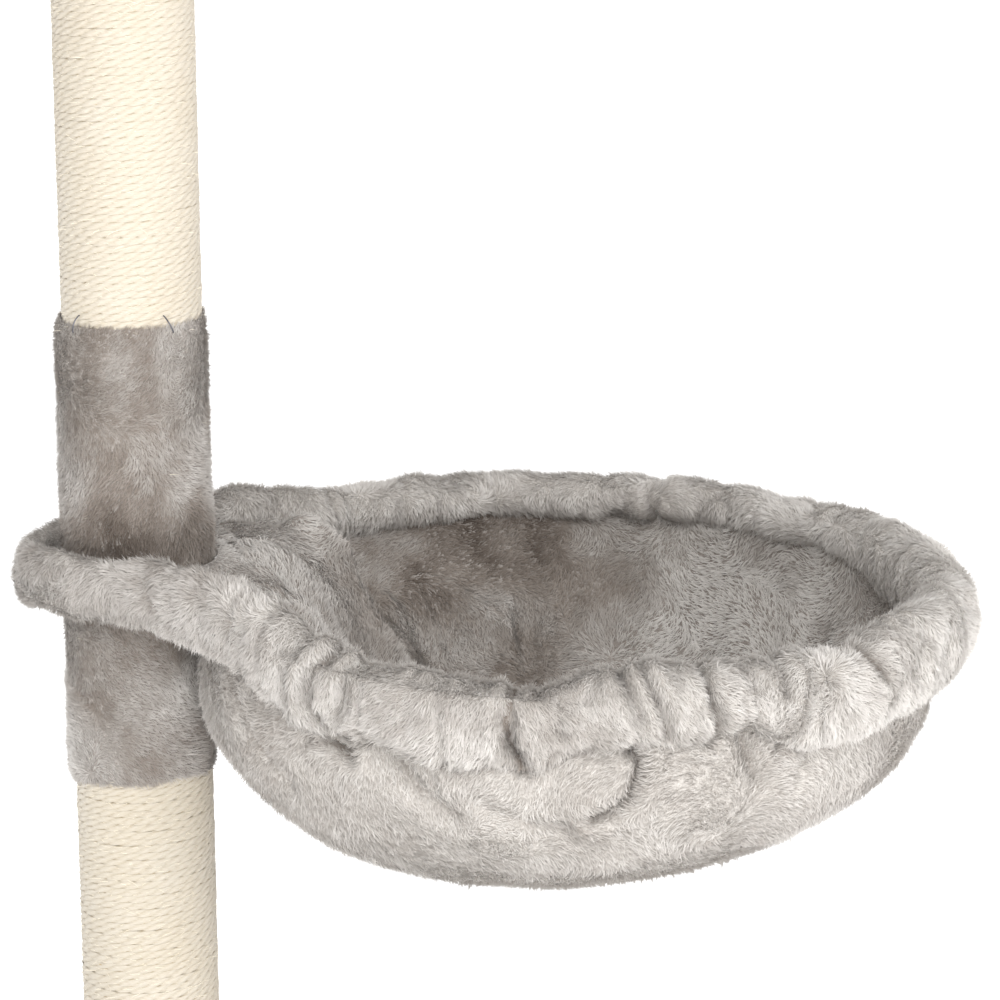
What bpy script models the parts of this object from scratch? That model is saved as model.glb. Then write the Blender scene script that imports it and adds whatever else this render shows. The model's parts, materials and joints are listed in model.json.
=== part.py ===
"""Cat tree: one scratching post on a plush-covered base, a plush hammock on a wire hoop
that turns round the post at the joint between its two sections, and a small top perch.
Metres, +Z up. The origin is the middle of the base board's underside, on the floor."""

import math

import bpy
import bmesh
from mathutils import Vector

MM = 0.001
GAP = 0.3 * MM  # between pieces that touch

# Base board and its cover
BASE_L = 600 * MM  # along X
BASE_W = 500 * MM  # along Y
BASE_T = 18 * MM
BASE_R = 45 * MM  # corner radius
REBATE_DEEP = 3.0 * MM  # the cover is folded into this rebate and stapled
REBATE_WIDE = 42 * MM
CLOTH_T = 2.4 * MM  # backing cloth of the plush

# Post: two equal sections, end on end
POST_X = -170 * MM
SECTION_L = 500 * MM
CORE_R = 40 * MM
CORE_WALL = 6 * MM
ROPE_R = 45 * MM  # over the wound sisal
SLEEVE_R = 50 * MM  # over the plush sleeve, pile included
SLEEVE_UP = 180 * MM  # above the joint
SLEEVE_DOWN = 124 * MM  # below the joint
PLUG_T = 26 * MM

# M8 fixings
STUD_R = 4.0 * MM
HOLE_R = 4.6 * MM
PLATE_T = 3.0 * MM
PLATE_HOLE_R = 4.08 * MM  # the hammock plate turns on the stud
HEAD_H = 5.3 * MM
HEAD_AF = 13 * MM
WASHER_R = 11 * MM
WASHER_T = 1.6 * MM
POCKET_R = 13 * MM
POCKET_H = 8.2 * MM

# Top perch
PERCH_R = 170 * MM
PERCH_T = 16 * MM

# Hammock
HOOP_X = 280 * MM  # from the post axis to the middle of the bowl
HOOP_R = 246 * MM
HOOP_BAR = 218 * MM  # from the middle of the bowl to the straight bar at the post
WIRE_R = 4 * MM
ROLL_R = 22 * MM
ROLL_WALL = 8 * MM
COLLAR_THICK = 10 * MM  # half thickness of the collar, towards the post
COLLAR_TALL = 21 * MM  # half height
COLLAR_LOOP_R = 70 * MM  # the collar's loop round the post
BOWL_IN = 11 * MM
BOWL_DEEP = 165 * MM
BOWL_T = 3 * MM
BOWL_POWER = 2.3
LINING_IN = 28 * MM
LINING_DEEP = 157 * MM
DROOP = 0.049  # the hoop sinks away from the post
LEAN = 0.0437  # and a little towards its front side
ELASTIC_R = 2.0 * MM

POST_BOTTOM = BASE_T + GAP + CLOTH_T + GAP
LOWER_TOP = POST_BOTTOM + SECTION_L
PLATE_LOW = LOWER_TOP + GAP
JOINT_Z = PLATE_LOW + PLATE_T / 2
UPPER_LOW = PLATE_LOW + PLATE_T + GAP
UPPER_TOP = UPPER_LOW + SECTION_L
PERCH_LOW = UPPER_TOP + GAP
# The bar lies on the plate's tongue, and sets the height of the hoop's plane.
HOOP_Z = PLATE_LOW + PLATE_T + GAP + 1.1 * MM + WIRE_R + DROOP * (HOOP_X - HOOP_BAR)


# ---------------------------------------------------------------- scene and materials

for old in list(bpy.data.objects):
    bpy.data.objects.remove(old, do_unlink=True)

parts = bpy.data.collections.new("cat_tree")
cutters = bpy.data.collections.new("cutters")
bpy.context.scene.collection.children.link(parts)
bpy.context.scene.collection.children.link(cutters)
cutters.hide_render = True


def material(name, colour, roughness, metallic=0.0):
    mat = bpy.data.materials.new(name)
    mat.use_nodes = True
    shader = mat.node_tree.nodes["Principled BSDF"]
    shader.inputs["Base Color"].default_value = (*colour, 1.0)
    shader.inputs["Roughness"].default_value = roughness
    shader.inputs["Metallic"].default_value = metallic
    mat.diffuse_color = (*colour, 1.0)
    return mat


PLUSH = material("grey_plush", (0.60, 0.58, 0.55), 0.95)
LINING = material("grey_plush_lining", (0.42, 0.38, 0.35), 0.95)
SISAL = material("sisal", (0.88, 0.82, 0.68), 0.9)
BOARD = material("chipboard", (0.52, 0.38, 0.24), 0.8)
CARDBOARD = material("cardboard", (0.45, 0.33, 0.21), 0.9)
ZINC = material("zinc_plated_steel", (0.62, 0.63, 0.65), 0.35, 1.0)
BLACK_WIRE = material("black_painted_steel", (0.03, 0.03, 0.03), 0.45, 0.0)
STAPLE = material("staple_wire", (0.16, 0.16, 0.18), 0.35, 1.0)
ELASTIC = material("elastic_cord", (0.80, 0.80, 0.78), 0.8)


def add(name, mesh, mat, group=None):
    obj = bpy.data.objects.new(name, mesh)
    (group or parts).objects.link(obj)
    if mat is not None:
        mesh.materials.append(mat)
    return obj


# ---------------------------------------------------------------- shaping helpers


def lathe(name, profile, mat, at=(0, 0, 0), steps=48, smooth=True):
    """Turns an (r, z) profile about Z. A closed profile off the axis makes a ring; one that starts and ends on the axis makes a solid. It runs from top to bottom down its outer side."""
    closed = profile[0] == profile[-1]
    points = profile[:-1] if closed else profile
    mesh = bpy.data.meshes.new(name)
    edges = [(i, i + 1) for i in range(len(points) - 1)]
    if closed:
        edges.append((len(points) - 1, 0))
    mesh.from_pydata([(r, 0.0, z) for r, z in points], edges, [])
    obj = add(name, mesh, mat)
    obj.location = at
    turn = obj.modifiers.new("Turn", "SCREW")
    turn.axis = "Z"
    turn.angle = 2 * math.pi
    turn.steps = turn.render_steps = steps
    turn.use_merge_vertices = True
    turn.merge_threshold = 0.00002
    turn.use_smooth_shade = smooth
    return obj


def ring(r_in, r_out, z_low, z_high, soft=0.0):
    """Closed profile of a tube, with its outer edges softened."""
    return [
        (r_in, z_high),
        (r_out - soft, z_high),
        (r_out, z_high - soft),
        (r_out, z_low + soft),
        (r_out - soft, z_low),
        (r_in, z_low),
        (r_in, z_high),
    ] if soft else [
        (r_in, z_high),
        (r_out, z_high),
        (r_out, z_low),
        (r_in, z_low),
        (r_in, z_high),
    ]


def loft(name, loops, mat, close_ends=True, cyclic=False, smooth=False):
    """Skins a list of equal loops of points. Ends are capped unless the run of loops is cyclic."""
    bm = bmesh.new()
    rows = [[bm.verts.new(p) for p in loop] for loop in loops]
    count = len(rows[0])
    pairs = list(zip(rows, rows[1:]))
    if cyclic:
        pairs.append((rows[-1], rows[0]))
    for a, b in pairs:
        for i in range(count):
            j = (i + 1) % count
            bm.faces.new((a[i], a[j], b[j], b[i]))
    if close_ends and not cyclic:
        bm.faces.new(rows[0][::-1])
        bm.faces.new(rows[-1])
    bmesh.ops.recalc_face_normals(bm, faces=bm.faces)
    if smooth:
        for face in bm.faces:
            face.smooth = len(face.verts) == 4
    mesh = bpy.data.meshes.new(name)
    bm.to_mesh(mesh)
    bm.free()
    return add(name, mesh, mat)


def rounded_rect(length, width, radius, z, corner_steps=7):
    points = []
    for k, (sx, sy) in enumerate(((1, 1), (-1, 1), (-1, -1), (1, -1))):
        cx, cy = sx * (length / 2 - radius), sy * (width / 2 - radius)
        for i in range(corner_steps + 1):
            a = math.pi / 2 * (k + i / corner_steps)
            points.append((cx + radius * math.cos(a), cy + radius * math.sin(a), z))
    return points


def cylinder_cutter(name, radius, z_low, z_high, at, sides=48):
    bm = bmesh.new()
    bmesh.ops.create_cone(
        bm, cap_ends=True, segments=sides, radius1=radius, radius2=radius,
        depth=z_high - z_low,
    )
    mesh = bpy.data.meshes.new(name)
    bm.to_mesh(mesh)
    bm.free()
    obj = add(name, mesh, None, cutters)
    obj.location = (at[0], at[1], (z_low + z_high) / 2)
    obj.hide_render = True
    obj.display_type = "WIRE"
    return obj


def cut(obj, cutter):
    mod = obj.modifiers.new("Cut_" + cutter.name, "BOOLEAN")
    mod.operation = "DIFFERENCE"
    mod.solver = "EXACT"
    mod.object = cutter


def wire(name, points, radius, mat, cyclic=False, resolution=2):
    curve = bpy.data.curves.new(name, "CURVE")
    curve.dimensions = "3D"
    curve.bevel_depth = radius
    curve.bevel_resolution = resolution
    curve.use_fill_caps = True
    spline = curve.splines.new("POLY")
    spline.points.add(len(points) - 1)
    for p, q in zip(spline.points, points):
        p.co = (*q, 1.0)
    spline.use_cyclic_u = cyclic
    curve.materials.append(mat)
    obj = bpy.data.objects.new(name, curve)
    parts.objects.link(obj)
    return obj


def circle_points(radius, z, count):
    return [
        (radius * math.cos(2 * math.pi * i / count), radius * math.sin(2 * math.pi * i / count), z)
        for i in range(count)
    ]


def hex_points(across_flats, z, count=24):
    """The outline of a hexagon, with as many points as the shank's circle."""
    points = []
    for i in range(count):
        a = 2 * math.pi * i / count
        sixth = (a + math.pi / 6) % (math.pi / 3) - math.pi / 6
        r = across_flats / 2 / math.cos(sixth)
        points.append((r * math.cos(a), r * math.sin(a), z))
    return points


def hex_bolt(name, length, head_down, mat):
    """A hex bolt with its origin under the head, on its own axis. The shank points up when the head is down."""
    s = 1.0 if head_down else -1.0
    loops = [
        hex_points(HEAD_AF - 1.2 * MM, -s * HEAD_H),
        hex_points(HEAD_AF, -s * (HEAD_H - 0.6 * MM)),
        hex_points(HEAD_AF, 0.0),
        circle_points(STUD_R, 0.0, 24),
        circle_points(STUD_R, s * (length - 0.8 * MM), 24),
        circle_points(STUD_R - 0.8 * MM, s * length, 24),
    ]
    return loft(name, loops, mat)


# ---------------------------------------------------------------- stand: base

post = bpy.data.objects.new("post_axis", None)
post.empty_display_size = 0.05
post.location = (POST_X, 0.0, 0.0)
parts.objects.link(post)

inner = (BASE_L - 2 * REBATE_WIDE, BASE_W - 2 * REBATE_WIDE, BASE_R * 0.5)
base_board = loft(
    "base_board",
    [
        rounded_rect(*inner, 0.0),
        rounded_rect(*inner, REBATE_DEEP),
        rounded_rect(BASE_L, BASE_W, BASE_R, REBATE_DEEP),
        rounded_rect(BASE_L, BASE_W, BASE_R, BASE_T - 1.5 * MM),
        rounded_rect(BASE_L - 3 * MM, BASE_W - 3 * MM, BASE_R - 1.5 * MM, BASE_T),
    ],
    BOARD,
)
cut(base_board, cylinder_cutter("cut_base_hole", HOLE_R, -0.01, 0.03, (POST_X, 0)))
cut(base_board, cylinder_cutter("cut_base_pocket", POCKET_R, -0.01, POCKET_H, (POST_X, 0)))


def cover_loop(offset, z):
    """The board's outline grown by an offset."""
    return rounded_rect(BASE_L + 2 * offset, BASE_W + 2 * offset, BASE_R + offset, z)


FOLD_IN = -(REBATE_WIDE - 4 * MM)  # where the folded edge ends, under the board
SKIN = GAP + CLOTH_T
base_cover = loft(
    "base_cover",
    [
        cover_loop(-9 * MM, BASE_T + SKIN),
        cover_loop(-1 * MM, BASE_T + SKIN - 0.3 * MM),
        cover_loop(SKIN - 1 * MM, BASE_T + SKIN - 1.4 * MM),
        cover_loop(SKIN, BASE_T - 1 * MM),
        cover_loop(SKIN, 1.5 * MM),
        cover_loop(SKIN - 1.2 * MM, REBATE_DEEP - SKIN),
        cover_loop(FOLD_IN, REBATE_DEEP - SKIN),
        cover_loop(FOLD_IN, REBATE_DEEP - GAP),
        cover_loop(GAP, REBATE_DEEP - GAP),
        cover_loop(GAP, BASE_T - 1.2 * MM),
        cover_loop(GAP - 1.5 * MM, BASE_T + GAP),
        cover_loop(-9 * MM, BASE_T + GAP),
    ],
    PLUSH,
)
cut(base_cover, cylinder_cutter("cut_cover_hole", HOLE_R, BASE_T - 0.002, 0.04, (POST_X, 0)))

base_washer = lathe(
    "base_washer",
    ring(STUD_R + GAP, WASHER_R, POCKET_H - GAP - WASHER_T, POCKET_H - GAP),
    ZINC,
    steps=32,
)
base_washer.parent = post
base_bolt = hex_bolt("base_bolt", 33 * MM, True, ZINC)
base_bolt.location = (0, 0, POCKET_H - 2 * GAP - WASHER_T)
base_bolt.parent = post


# ---------------------------------------------------------------- stand: post sections


def tee_nut(name, z_face, up):
    """A tee nut let into an end plug: its flange lies inside the tube, its barrel in the plug's hole."""
    s = 1.0 if up else -1.0
    r_in, barrel, flange = STUD_R + GAP, 5.6 * MM, 11 * MM
    low, high = z_face + s * 11 * MM, z_face + s * (PLUG_T + GAP)
    top = high + s * 1.4 * MM
    profile = [
        (r_in, top), (flange, top), (flange, high), (barrel, high), (barrel, low),
        (r_in, low), (r_in, top),
    ]
    if s < 0:
        profile = profile[::-1]
    nut = lathe(name, profile, ZINC, steps=32)
    nut.parent = post
    return nut


def end_plug(name, z_face, up):
    """A wooden disc in the tube's end, bored for the stud and counterbored for the tee nut."""
    s = 1.0 if up else -1.0
    r_out = CORE_R - CORE_WALL - GAP
    far, step = z_face + s * PLUG_T, z_face + s * (11 * MM - GAP)
    profile = [
        (5.6 * MM + GAP, far), (r_out, far), (r_out, z_face), (HOLE_R, z_face),
        (HOLE_R, step), (5.6 * MM + GAP, step), (5.6 * MM + GAP, far),
    ]
    if s < 0:
        profile = profile[::-1]
    plug = lathe(name, profile, BOARD, steps=40)
    plug.parent = post
    return plug


def section(prefix, low, high):
    """One post section: the cardboard tube, its end plugs and tee nuts, and the sisal wound round it."""
    tube = lathe(prefix + "_core_tube", ring(CORE_R - CORE_WALL, CORE_R, low, high), CARDBOARD)
    tube.parent = post
    end_plug(prefix + "_end_plug_bottom", low, True)
    tee_nut(prefix + "_tee_nut_bottom", low, True)
    end_plug(prefix + "_end_plug_top", high, False)
    tee_nut(prefix + "_tee_nut_top", high, False)
    rope = lathe(
        prefix + "_sisal_rope",
        ring(CORE_R + GAP, ROPE_R, low + 0.5 * MM, high - 0.5 * MM, 1.8 * MM),
        SISAL,
    )
    rope.parent = post


section("lower", POST_BOTTOM, LOWER_TOP)
section("upper", UPPER_LOW, UPPER_TOP)


def sleeve(name, low, high):
    body = lathe(name, ring(ROPE_R + GAP, SLEEVE_R, low, high, 1.5 * MM), PLUSH)
    body.parent = post


sleeve("lower_plush_sleeve", JOINT_Z - SLEEVE_DOWN, LOWER_TOP - 0.5 * MM)
sleeve("upper_plush_sleeve", UPPER_LOW + 0.5 * MM, JOINT_Z + SLEEVE_UP)

joint_stud = lathe(
    "joint_stud",
    [
        (0, 24 * MM), (STUD_R - 0.7 * MM, 24 * MM), (STUD_R, 23.3 * MM),
        (STUD_R, -23.3 * MM), (STUD_R - 0.7 * MM, -24 * MM), (0, -24 * MM),
    ],
    ZINC,
    at=(0, 0, JOINT_Z),
    steps=64,
)
joint_stud.parent = post


def staple(name, angle, tilt):
    """A wire staple that holds the sleeve's top edge: its crown runs from the plush onto the rope, and its two short legs point in."""
    top = JOINT_Z + SLEEVE_UP
    c, s = math.cos(angle), math.sin(angle)
    path = [
        (SLEEVE_R + 0.9 * MM, -5.0 * MM, -0.5),
        (SLEEVE_R + 1.3 * MM, -4.2 * MM, -0.45),
        (SLEEVE_R + 1.2 * MM, 0.0, 0.0),
        (SLEEVE_R - 0.4 * MM, 3.0 * MM, 0.3),
        (ROPE_R + 2.0 * MM, 5.2 * MM, 0.45),
        (ROPE_R + 0.9 * MM, 5.6 * MM, 0.5),
    ]
    points = [
        (r * c - tilt * k * s * MM, r * s + tilt * k * c * MM, top + z) for r, z, k in path
    ]
    body = wire(name, points, 0.45 * MM, STAPLE, resolution=1)
    body.parent = post


staple("sleeve_staple_left", math.radians(-130), 1.0)
staple("sleeve_staple_right", math.radians(-56), -4.0)


# ---------------------------------------------------------------- stand: top perch

top_board = lathe(
    "top_board",
    [
        (HOLE_R, PERCH_T - POCKET_H), (POCKET_R, PERCH_T - POCKET_H), (POCKET_R, PERCH_T),
        (PERCH_R - 1.5 * MM, PERCH_T), (PERCH_R, PERCH_T - 1.5 * MM), (PERCH_R, 1 * MM),
        (PERCH_R - 1 * MM, 0), (HOLE_R, 0), (HOLE_R, PERCH_T - POCKET_H),
    ],
    BOARD,
    at=(0, 0, PERCH_LOW),
    steps=56,
)
top_board.parent = post

top_cover = lathe(
    "top_cover",
    [
        (0, PERCH_T + SKIN), (PERCH_R - 4 * MM, PERCH_T + SKIN),
        (PERCH_R + 1.6 * MM, PERCH_T + 1 * MM), (PERCH_R + SKIN, PERCH_T - 2 * MM),
        (PERCH_R + SKIN, -1 * MM), (PERCH_R + 1 * MM, -SKIN), (PERCH_R - 38 * MM, -SKIN),
        (PERCH_R - 38 * MM, -GAP), (PERCH_R + GAP, -GAP), (PERCH_R + GAP, PERCH_T - 1 * MM),
        (PERCH_R - 1.2 * MM, PERCH_T + GAP), (0, PERCH_T + GAP),
    ],
    PLUSH,
    at=(0, 0, PERCH_LOW),
    steps=56,
)
top_cover.parent = post

top_washer = lathe(
    "top_washer",
    ring(STUD_R + GAP, WASHER_R, PERCH_T - POCKET_H + GAP, PERCH_T - POCKET_H + GAP + WASHER_T),
    ZINC,
    at=(0, 0, PERCH_LOW),
    steps=32,
)
top_washer.parent = post
top_bolt = hex_bolt("top_bolt", 31 * MM, False, ZINC)
top_bolt.location = (0, 0, PERCH_LOW + PERCH_T - POCKET_H + 2 * GAP + WASHER_T)
top_bolt.parent = post


# ---------------------------------------------------------------- hammock

swivel = bpy.data.objects.new("hammock_swivel", None)
swivel.empty_display_size = 0.08
swivel.location = (POST_X, 0.0, JOINT_Z)
parts.objects.link(swivel)


def plane_z(x, y):
    """Height of the hoop's plane, from the joint, over a point from the post axis."""
    return HOOP_Z - JOINT_Z - DROOP * x + LEAN * y


def turned(angle):
    """The same angle, from -180 to 180 degrees."""
    return math.atan2(math.sin(angle), math.cos(angle))


def outline_radius(delta):
    """Radius of the rim's outline from the bowl's middle, at an angle from the post's direction. It is the hoop's circle, drawn out to pass round the post."""
    delta = turned(delta)
    broad = HOOP_R + 57 * MM * math.exp(-((delta / math.radians(22)) ** 2))
    across = HOOP_X * math.sin(delta)
    if abs(delta) < math.pi / 2 and abs(across) < COLLAR_LOOP_R:
        loop = HOOP_X * math.cos(delta) + math.sqrt(COLLAR_LOOP_R**2 - across**2)
        return max(broad, loop)
    return broad


def smooth_radius(delta):
    window = [math.radians(k) for k in (-4, -3, -2, -1, 0, 1, 2, 3, 4)]
    return sum(outline_radius(delta + w) for w in window) / len(window)


def hoop_radius(delta):
    """The wire: the circle, closed by a nearly straight bar in front of the post."""
    if math.cos(delta) <= 0.05:
        return HOOP_R
    bar = HOOP_BAR / math.cos(delta)
    return (HOOP_R**-24 + bar**-24) ** (-1 / 24)


def plan(radius, delta):
    return (HOOP_X - radius * math.cos(delta), radius * math.sin(delta))


hoop_points = []
for i in range(84):
    d = 2 * math.pi * i / 84
    x, y = plan(hoop_radius(math.atan2(math.sin(d), math.cos(d))), d)
    hoop_points.append((x, y, plane_z(x, y)))
frame_hoop = wire("frame_hoop", hoop_points, WIRE_R, BLACK_WIRE, cyclic=True)
frame_hoop.parent = swivel


def plate_outline(z):
    """A disc round the stud with a tongue that runs out under the bar."""
    disc_r, half, reach, soft = 27 * MM, 22 * MM, 76 * MM, 6 * MM
    start = math.asin(half / disc_r)
    points = []
    for i in range(25):
        a = start + (2 * math.pi - 2 * start) * i / 24
        points.append((disc_r * math.cos(a), disc_r * math.sin(a), z))
    for cx, cy, a0 in ((reach - soft, -half + soft, -90), (reach - soft, half - soft, 0)):
        for i in range(5):
            a = math.radians(a0 + 90 * i / 4)
            points.append((cx + soft * math.cos(a), cy + soft * math.sin(a), z))
    return points


frame_plate = loft(
    "frame_plate", [plate_outline(-PLATE_T / 2), plate_outline(PLATE_T / 2)], BLACK_WIRE
)
plate_cutter = cylinder_cutter("cut_plate_hole", PLATE_HOLE_R, -0.01, 0.01, (0, 0), 64)
cut(frame_plate, plate_cutter)
frame_plate.parent = swivel
plate_cutter.parent = swivel


def c_section(half_wide, half_tall, wall, mouth_mid, mouth_half, outer_steps, inner_steps):
    """A rolled hem in section, as (outward, up) points: a ring with a mouth. Its mouth is centred at an angle below the inward direction."""
    start, end = 180 + mouth_mid + mouth_half, 540 + mouth_mid - mouth_half
    section_points = []
    for i in range(outer_steps + 1):
        a = math.radians(start + (end - start) * i / outer_steps)
        section_points.append((half_wide * math.cos(a), half_tall * math.sin(a)))
    for i in range(inner_steps + 1):
        a = math.radians(end + (start - end) * i / inner_steps)
        section_points.append(((half_wide - wall) * math.cos(a), (half_tall - wall) * math.sin(a)))
    return section_points


def sweep(name, section_points, deltas, mat):
    """Runs a section along the rim's outline, upright and square to it."""
    loops = []
    for d in deltas:
        x, y = plan(smooth_radius(d), d)
        step = 0.004
        x0, y0 = plan(smooth_radius(d - step), d - step)
        x1, y1 = plan(smooth_radius(d + step), d + step)
        along = Vector((x1 - x0, y1 - y0, 0)).normalized()
        out = Vector((-along.y, along.x, 0))
        middle = Vector((x, y, plane_z(x, y)))
        if out.dot(Vector((x - HOOP_X, y, 0))) < 0:
            out = -out
        loops.append([tuple(middle + out * u + Vector((0, 0, v))) for u, v in section_points])
    body = loft(name, loops, mat, smooth=True)
    body.parent = swivel
    return body


SPLIT = math.radians(31)  # where the rim's roll gives way to the collar
rim_deltas = [SPLIT + (2 * math.pi - 2 * SPLIT) * i / 50 for i in range(51)]
sweep(
    "hammock_rim",
    c_section(ROLL_R, ROLL_R, ROLL_WALL, 30, 48, 12, 8),
    rim_deltas,
    PLUSH,
)
JOIN = SPLIT - math.radians(0.6)
collar_deltas = [-JOIN + 2 * JOIN * i / 36 for i in range(37)]
sweep(
    "hammock_collar",
    c_section(COLLAR_THICK, COLLAR_TALL, 5.5 * MM, 35, 48, 12, 8),
    collar_deltas,
    PLUSH,
)

ELASTIC_END = math.radians(23)
elastic_points = []
for i in range(29):
    d = -ELASTIC_END + 2 * ELASTIC_END * i / 28
    x, y = plan(smooth_radius(d), d)
    elastic_points.append((x, y, plane_z(x, y) + 2 * MM))
hem_elastic = wire("hem_elastic", elastic_points, ELASTIC_R, ELASTIC, resolution=1)
hem_elastic.parent = swivel


def bowl(name, inset, deep, edge_drop, mat, rings=9, segments=48):
    """A hanging bowl of cloth: a rounded section under the hoop's outline, as a shell."""
    bm = bmesh.new()
    last = math.acos((edge_drop / deep) ** (BOWL_POWER / 2))
    rows = []
    for k in range(1, rings + 1):
        psi = last * (k / rings) ** 0.85
        share = math.sin(psi) ** (2 / BOWL_POWER)
        drop = deep * math.cos(psi) ** (2 / BOWL_POWER)
        row = []
        for i in range(segments):
            d = 2 * math.pi * i / segments
            radius = (hoop_radius(math.atan2(math.sin(d), math.cos(d))) - inset) * share
            x, y = plan(radius, d)
            row.append(bm.verts.new((x, y, plane_z(x, y) - drop)))
        rows.append(row)
    pole = bm.verts.new((HOOP_X, 0, plane_z(HOOP_X, 0) - deep))
    for i in range(segments):
        j = (i + 1) % segments
        bm.faces.new((pole, rows[0][j], rows[0][i]))
        for a, b in zip(rows, rows[1:]):
            bm.faces.new((a[i], a[j], b[j], b[i]))
    bmesh.ops.recalc_face_normals(bm, faces=bm.faces)
    # An open shell's normals may come out facing either way: the outside faces down here.
    bm.faces.ensure_lookup_table()
    if bm.faces[0].normal.z > 0:
        bmesh.ops.reverse_faces(bm, faces=bm.faces)
    for face in bm.faces:
        face.smooth = True
    mesh = bpy.data.meshes.new(name)
    bm.to_mesh(mesh)
    bm.free()
    body = add(name, mesh, mat)
    shell = body.modifiers.new("Cloth", "SOLIDIFY")
    shell.thickness = BOWL_T
    shell.offset = -1.0
    shell.use_even_offset = False
    body.parent = swivel
    return body


bowl("hammock_outer", BOWL_IN, BOWL_DEEP, ROLL_R + 1 * MM, PLUSH)
bowl("hammock_lining", LINING_IN, LINING_DEEP, 7 * MM, LINING)
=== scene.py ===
"""The looks of the cat tree: wound sisal rope, plush cloth with its pile, materials, light and camera."""

import json
import math

import bmesh
import bpy
import numpy as np
from mathutils import Matrix, Vector


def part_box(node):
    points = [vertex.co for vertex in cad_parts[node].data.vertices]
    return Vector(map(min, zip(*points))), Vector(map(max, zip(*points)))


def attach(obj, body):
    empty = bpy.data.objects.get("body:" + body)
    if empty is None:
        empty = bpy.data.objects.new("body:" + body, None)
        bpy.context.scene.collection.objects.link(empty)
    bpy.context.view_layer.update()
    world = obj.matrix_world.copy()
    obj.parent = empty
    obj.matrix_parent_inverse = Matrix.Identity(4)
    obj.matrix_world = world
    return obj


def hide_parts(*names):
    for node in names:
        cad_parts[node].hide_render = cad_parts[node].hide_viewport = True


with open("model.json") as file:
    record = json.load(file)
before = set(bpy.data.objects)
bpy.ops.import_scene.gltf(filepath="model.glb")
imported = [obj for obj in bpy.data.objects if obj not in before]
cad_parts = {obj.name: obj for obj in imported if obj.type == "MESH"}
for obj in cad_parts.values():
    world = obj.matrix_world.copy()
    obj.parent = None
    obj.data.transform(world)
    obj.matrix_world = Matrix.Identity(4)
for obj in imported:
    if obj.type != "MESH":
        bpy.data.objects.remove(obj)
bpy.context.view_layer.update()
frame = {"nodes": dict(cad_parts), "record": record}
DENSITY = 1.0
MM = 0.001

# ---------------------------------------------------------------- the frame's own sizes
SLEEVE_TOP_LOW, SLEEVE_TOP_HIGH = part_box("upper_plush_sleeve")
PX = float((SLEEVE_TOP_LOW[0] + SLEEVE_TOP_HIGH[0]) / 2)
PLATE_LOW, PLATE_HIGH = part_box("frame_plate")
JZ = float((PLATE_LOW[2] + PLATE_HIGH[2]) / 2)
ROPE_R = 45 * MM
HOOP_X, HOOP_R, HOOP_BAR = 280 * MM, 246 * MM, 218 * MM
COLLAR_LOOP_R = 70 * MM
DROOP, LEAN = 0.049, 0.0437
HOOP_Z = JZ - 1.5 * MM + 3 * MM + 0.3 * MM + 1.1 * MM + 4 * MM + DROOP * (HOOP_X - HOOP_BAR)
REF_Z = JZ + 57.9 * MM  # the height on the post that the middle of the picture looks at


# ---------------------------------------------------------------- camera
def set_camera():
    pitch, roll = math.radians(13.0), math.radians(-0.33)
    focal_px, scale = 3600.0, 0.647 * MM
    fwd = Vector((0, math.cos(pitch), -math.sin(pitch)))
    up0 = Vector((0, math.sin(pitch), math.cos(pitch)))
    r0 = Vector((1, 0, 0))
    right = r0 * math.cos(roll) + up0 * math.sin(roll)
    up = up0 * math.cos(roll) - r0 * math.sin(roll)
    place = Vector((PX, 0, REF_Z)) - fwd * (focal_px * scale) + right * (363 * scale)
    data = bpy.data.cameras.new("camera")
    data.lens = focal_px / 1000 * 36
    data.sensor_width = 36
    data.clip_start, data.clip_end = 0.05, 60
    cam = bpy.data.objects.new("camera", data)
    m = Matrix((right, up, -fwd)).transposed().to_4x4()
    m.translation = place
    cam.matrix_world = m
    bpy.context.scene.collection.objects.link(cam)
    bpy.context.scene.camera = cam


set_camera()


# ---------------------------------------------------------------- numbers
def hashed(ix, iy, iz, seed):
    h = (ix * 374761393 + iy * 668265263 + iz * 1103515245 + seed * 97531) & 0xFFFFFFFF
    h = ((h ^ (h >> 13)) * 1274126177) & 0xFFFFFFFF
    h = ((h ^ (h >> 15)) * 2246822519) & 0xFFFFFFFF
    return ((h ^ (h >> 16)) & 0xFFFFFF) / float(0xFFFFFF)


def noise3(p, seed=0):
    """Smooth noise from -1 to 1 at points (n, 3)."""
    p = np.asarray(p, float)
    i = np.floor(p).astype(np.int64)
    f = p - i
    f = f * f * f * (f * (f * 6 - 15) + 10)
    total = np.zeros(len(p))
    for a in (0, 1):
        for b in (0, 1):
            for c in (0, 1):
                w = (
                    (f[:, 0] if a else 1 - f[:, 0])
                    * (f[:, 1] if b else 1 - f[:, 1])
                    * (f[:, 2] if c else 1 - f[:, 2])
                )
                total += w * hashed(i[:, 0] + a, i[:, 1] + b, i[:, 2] + c, seed)
    return 2 * total - 1


def fbm(p, octaves=3, seed=0):
    p = np.asarray(p, float)
    total, size, amount = np.zeros(len(p)), 1.0, 1.0
    norm = 0.0
    for k in range(octaves):
        total += amount * noise3(p * size, seed + 17 * k)
        norm += amount
        size, amount = size * 2.03, amount * 0.5
    return total / norm


def smooth(lo, hi, x):
    t = np.clip((np.asarray(x, float) - lo) / (hi - lo), 0, 1)
    return t * t * (3 - 2 * t)


def unit(v):
    return v / np.maximum(np.linalg.norm(v, axis=-1, keepdims=True), 1e-12)


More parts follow.
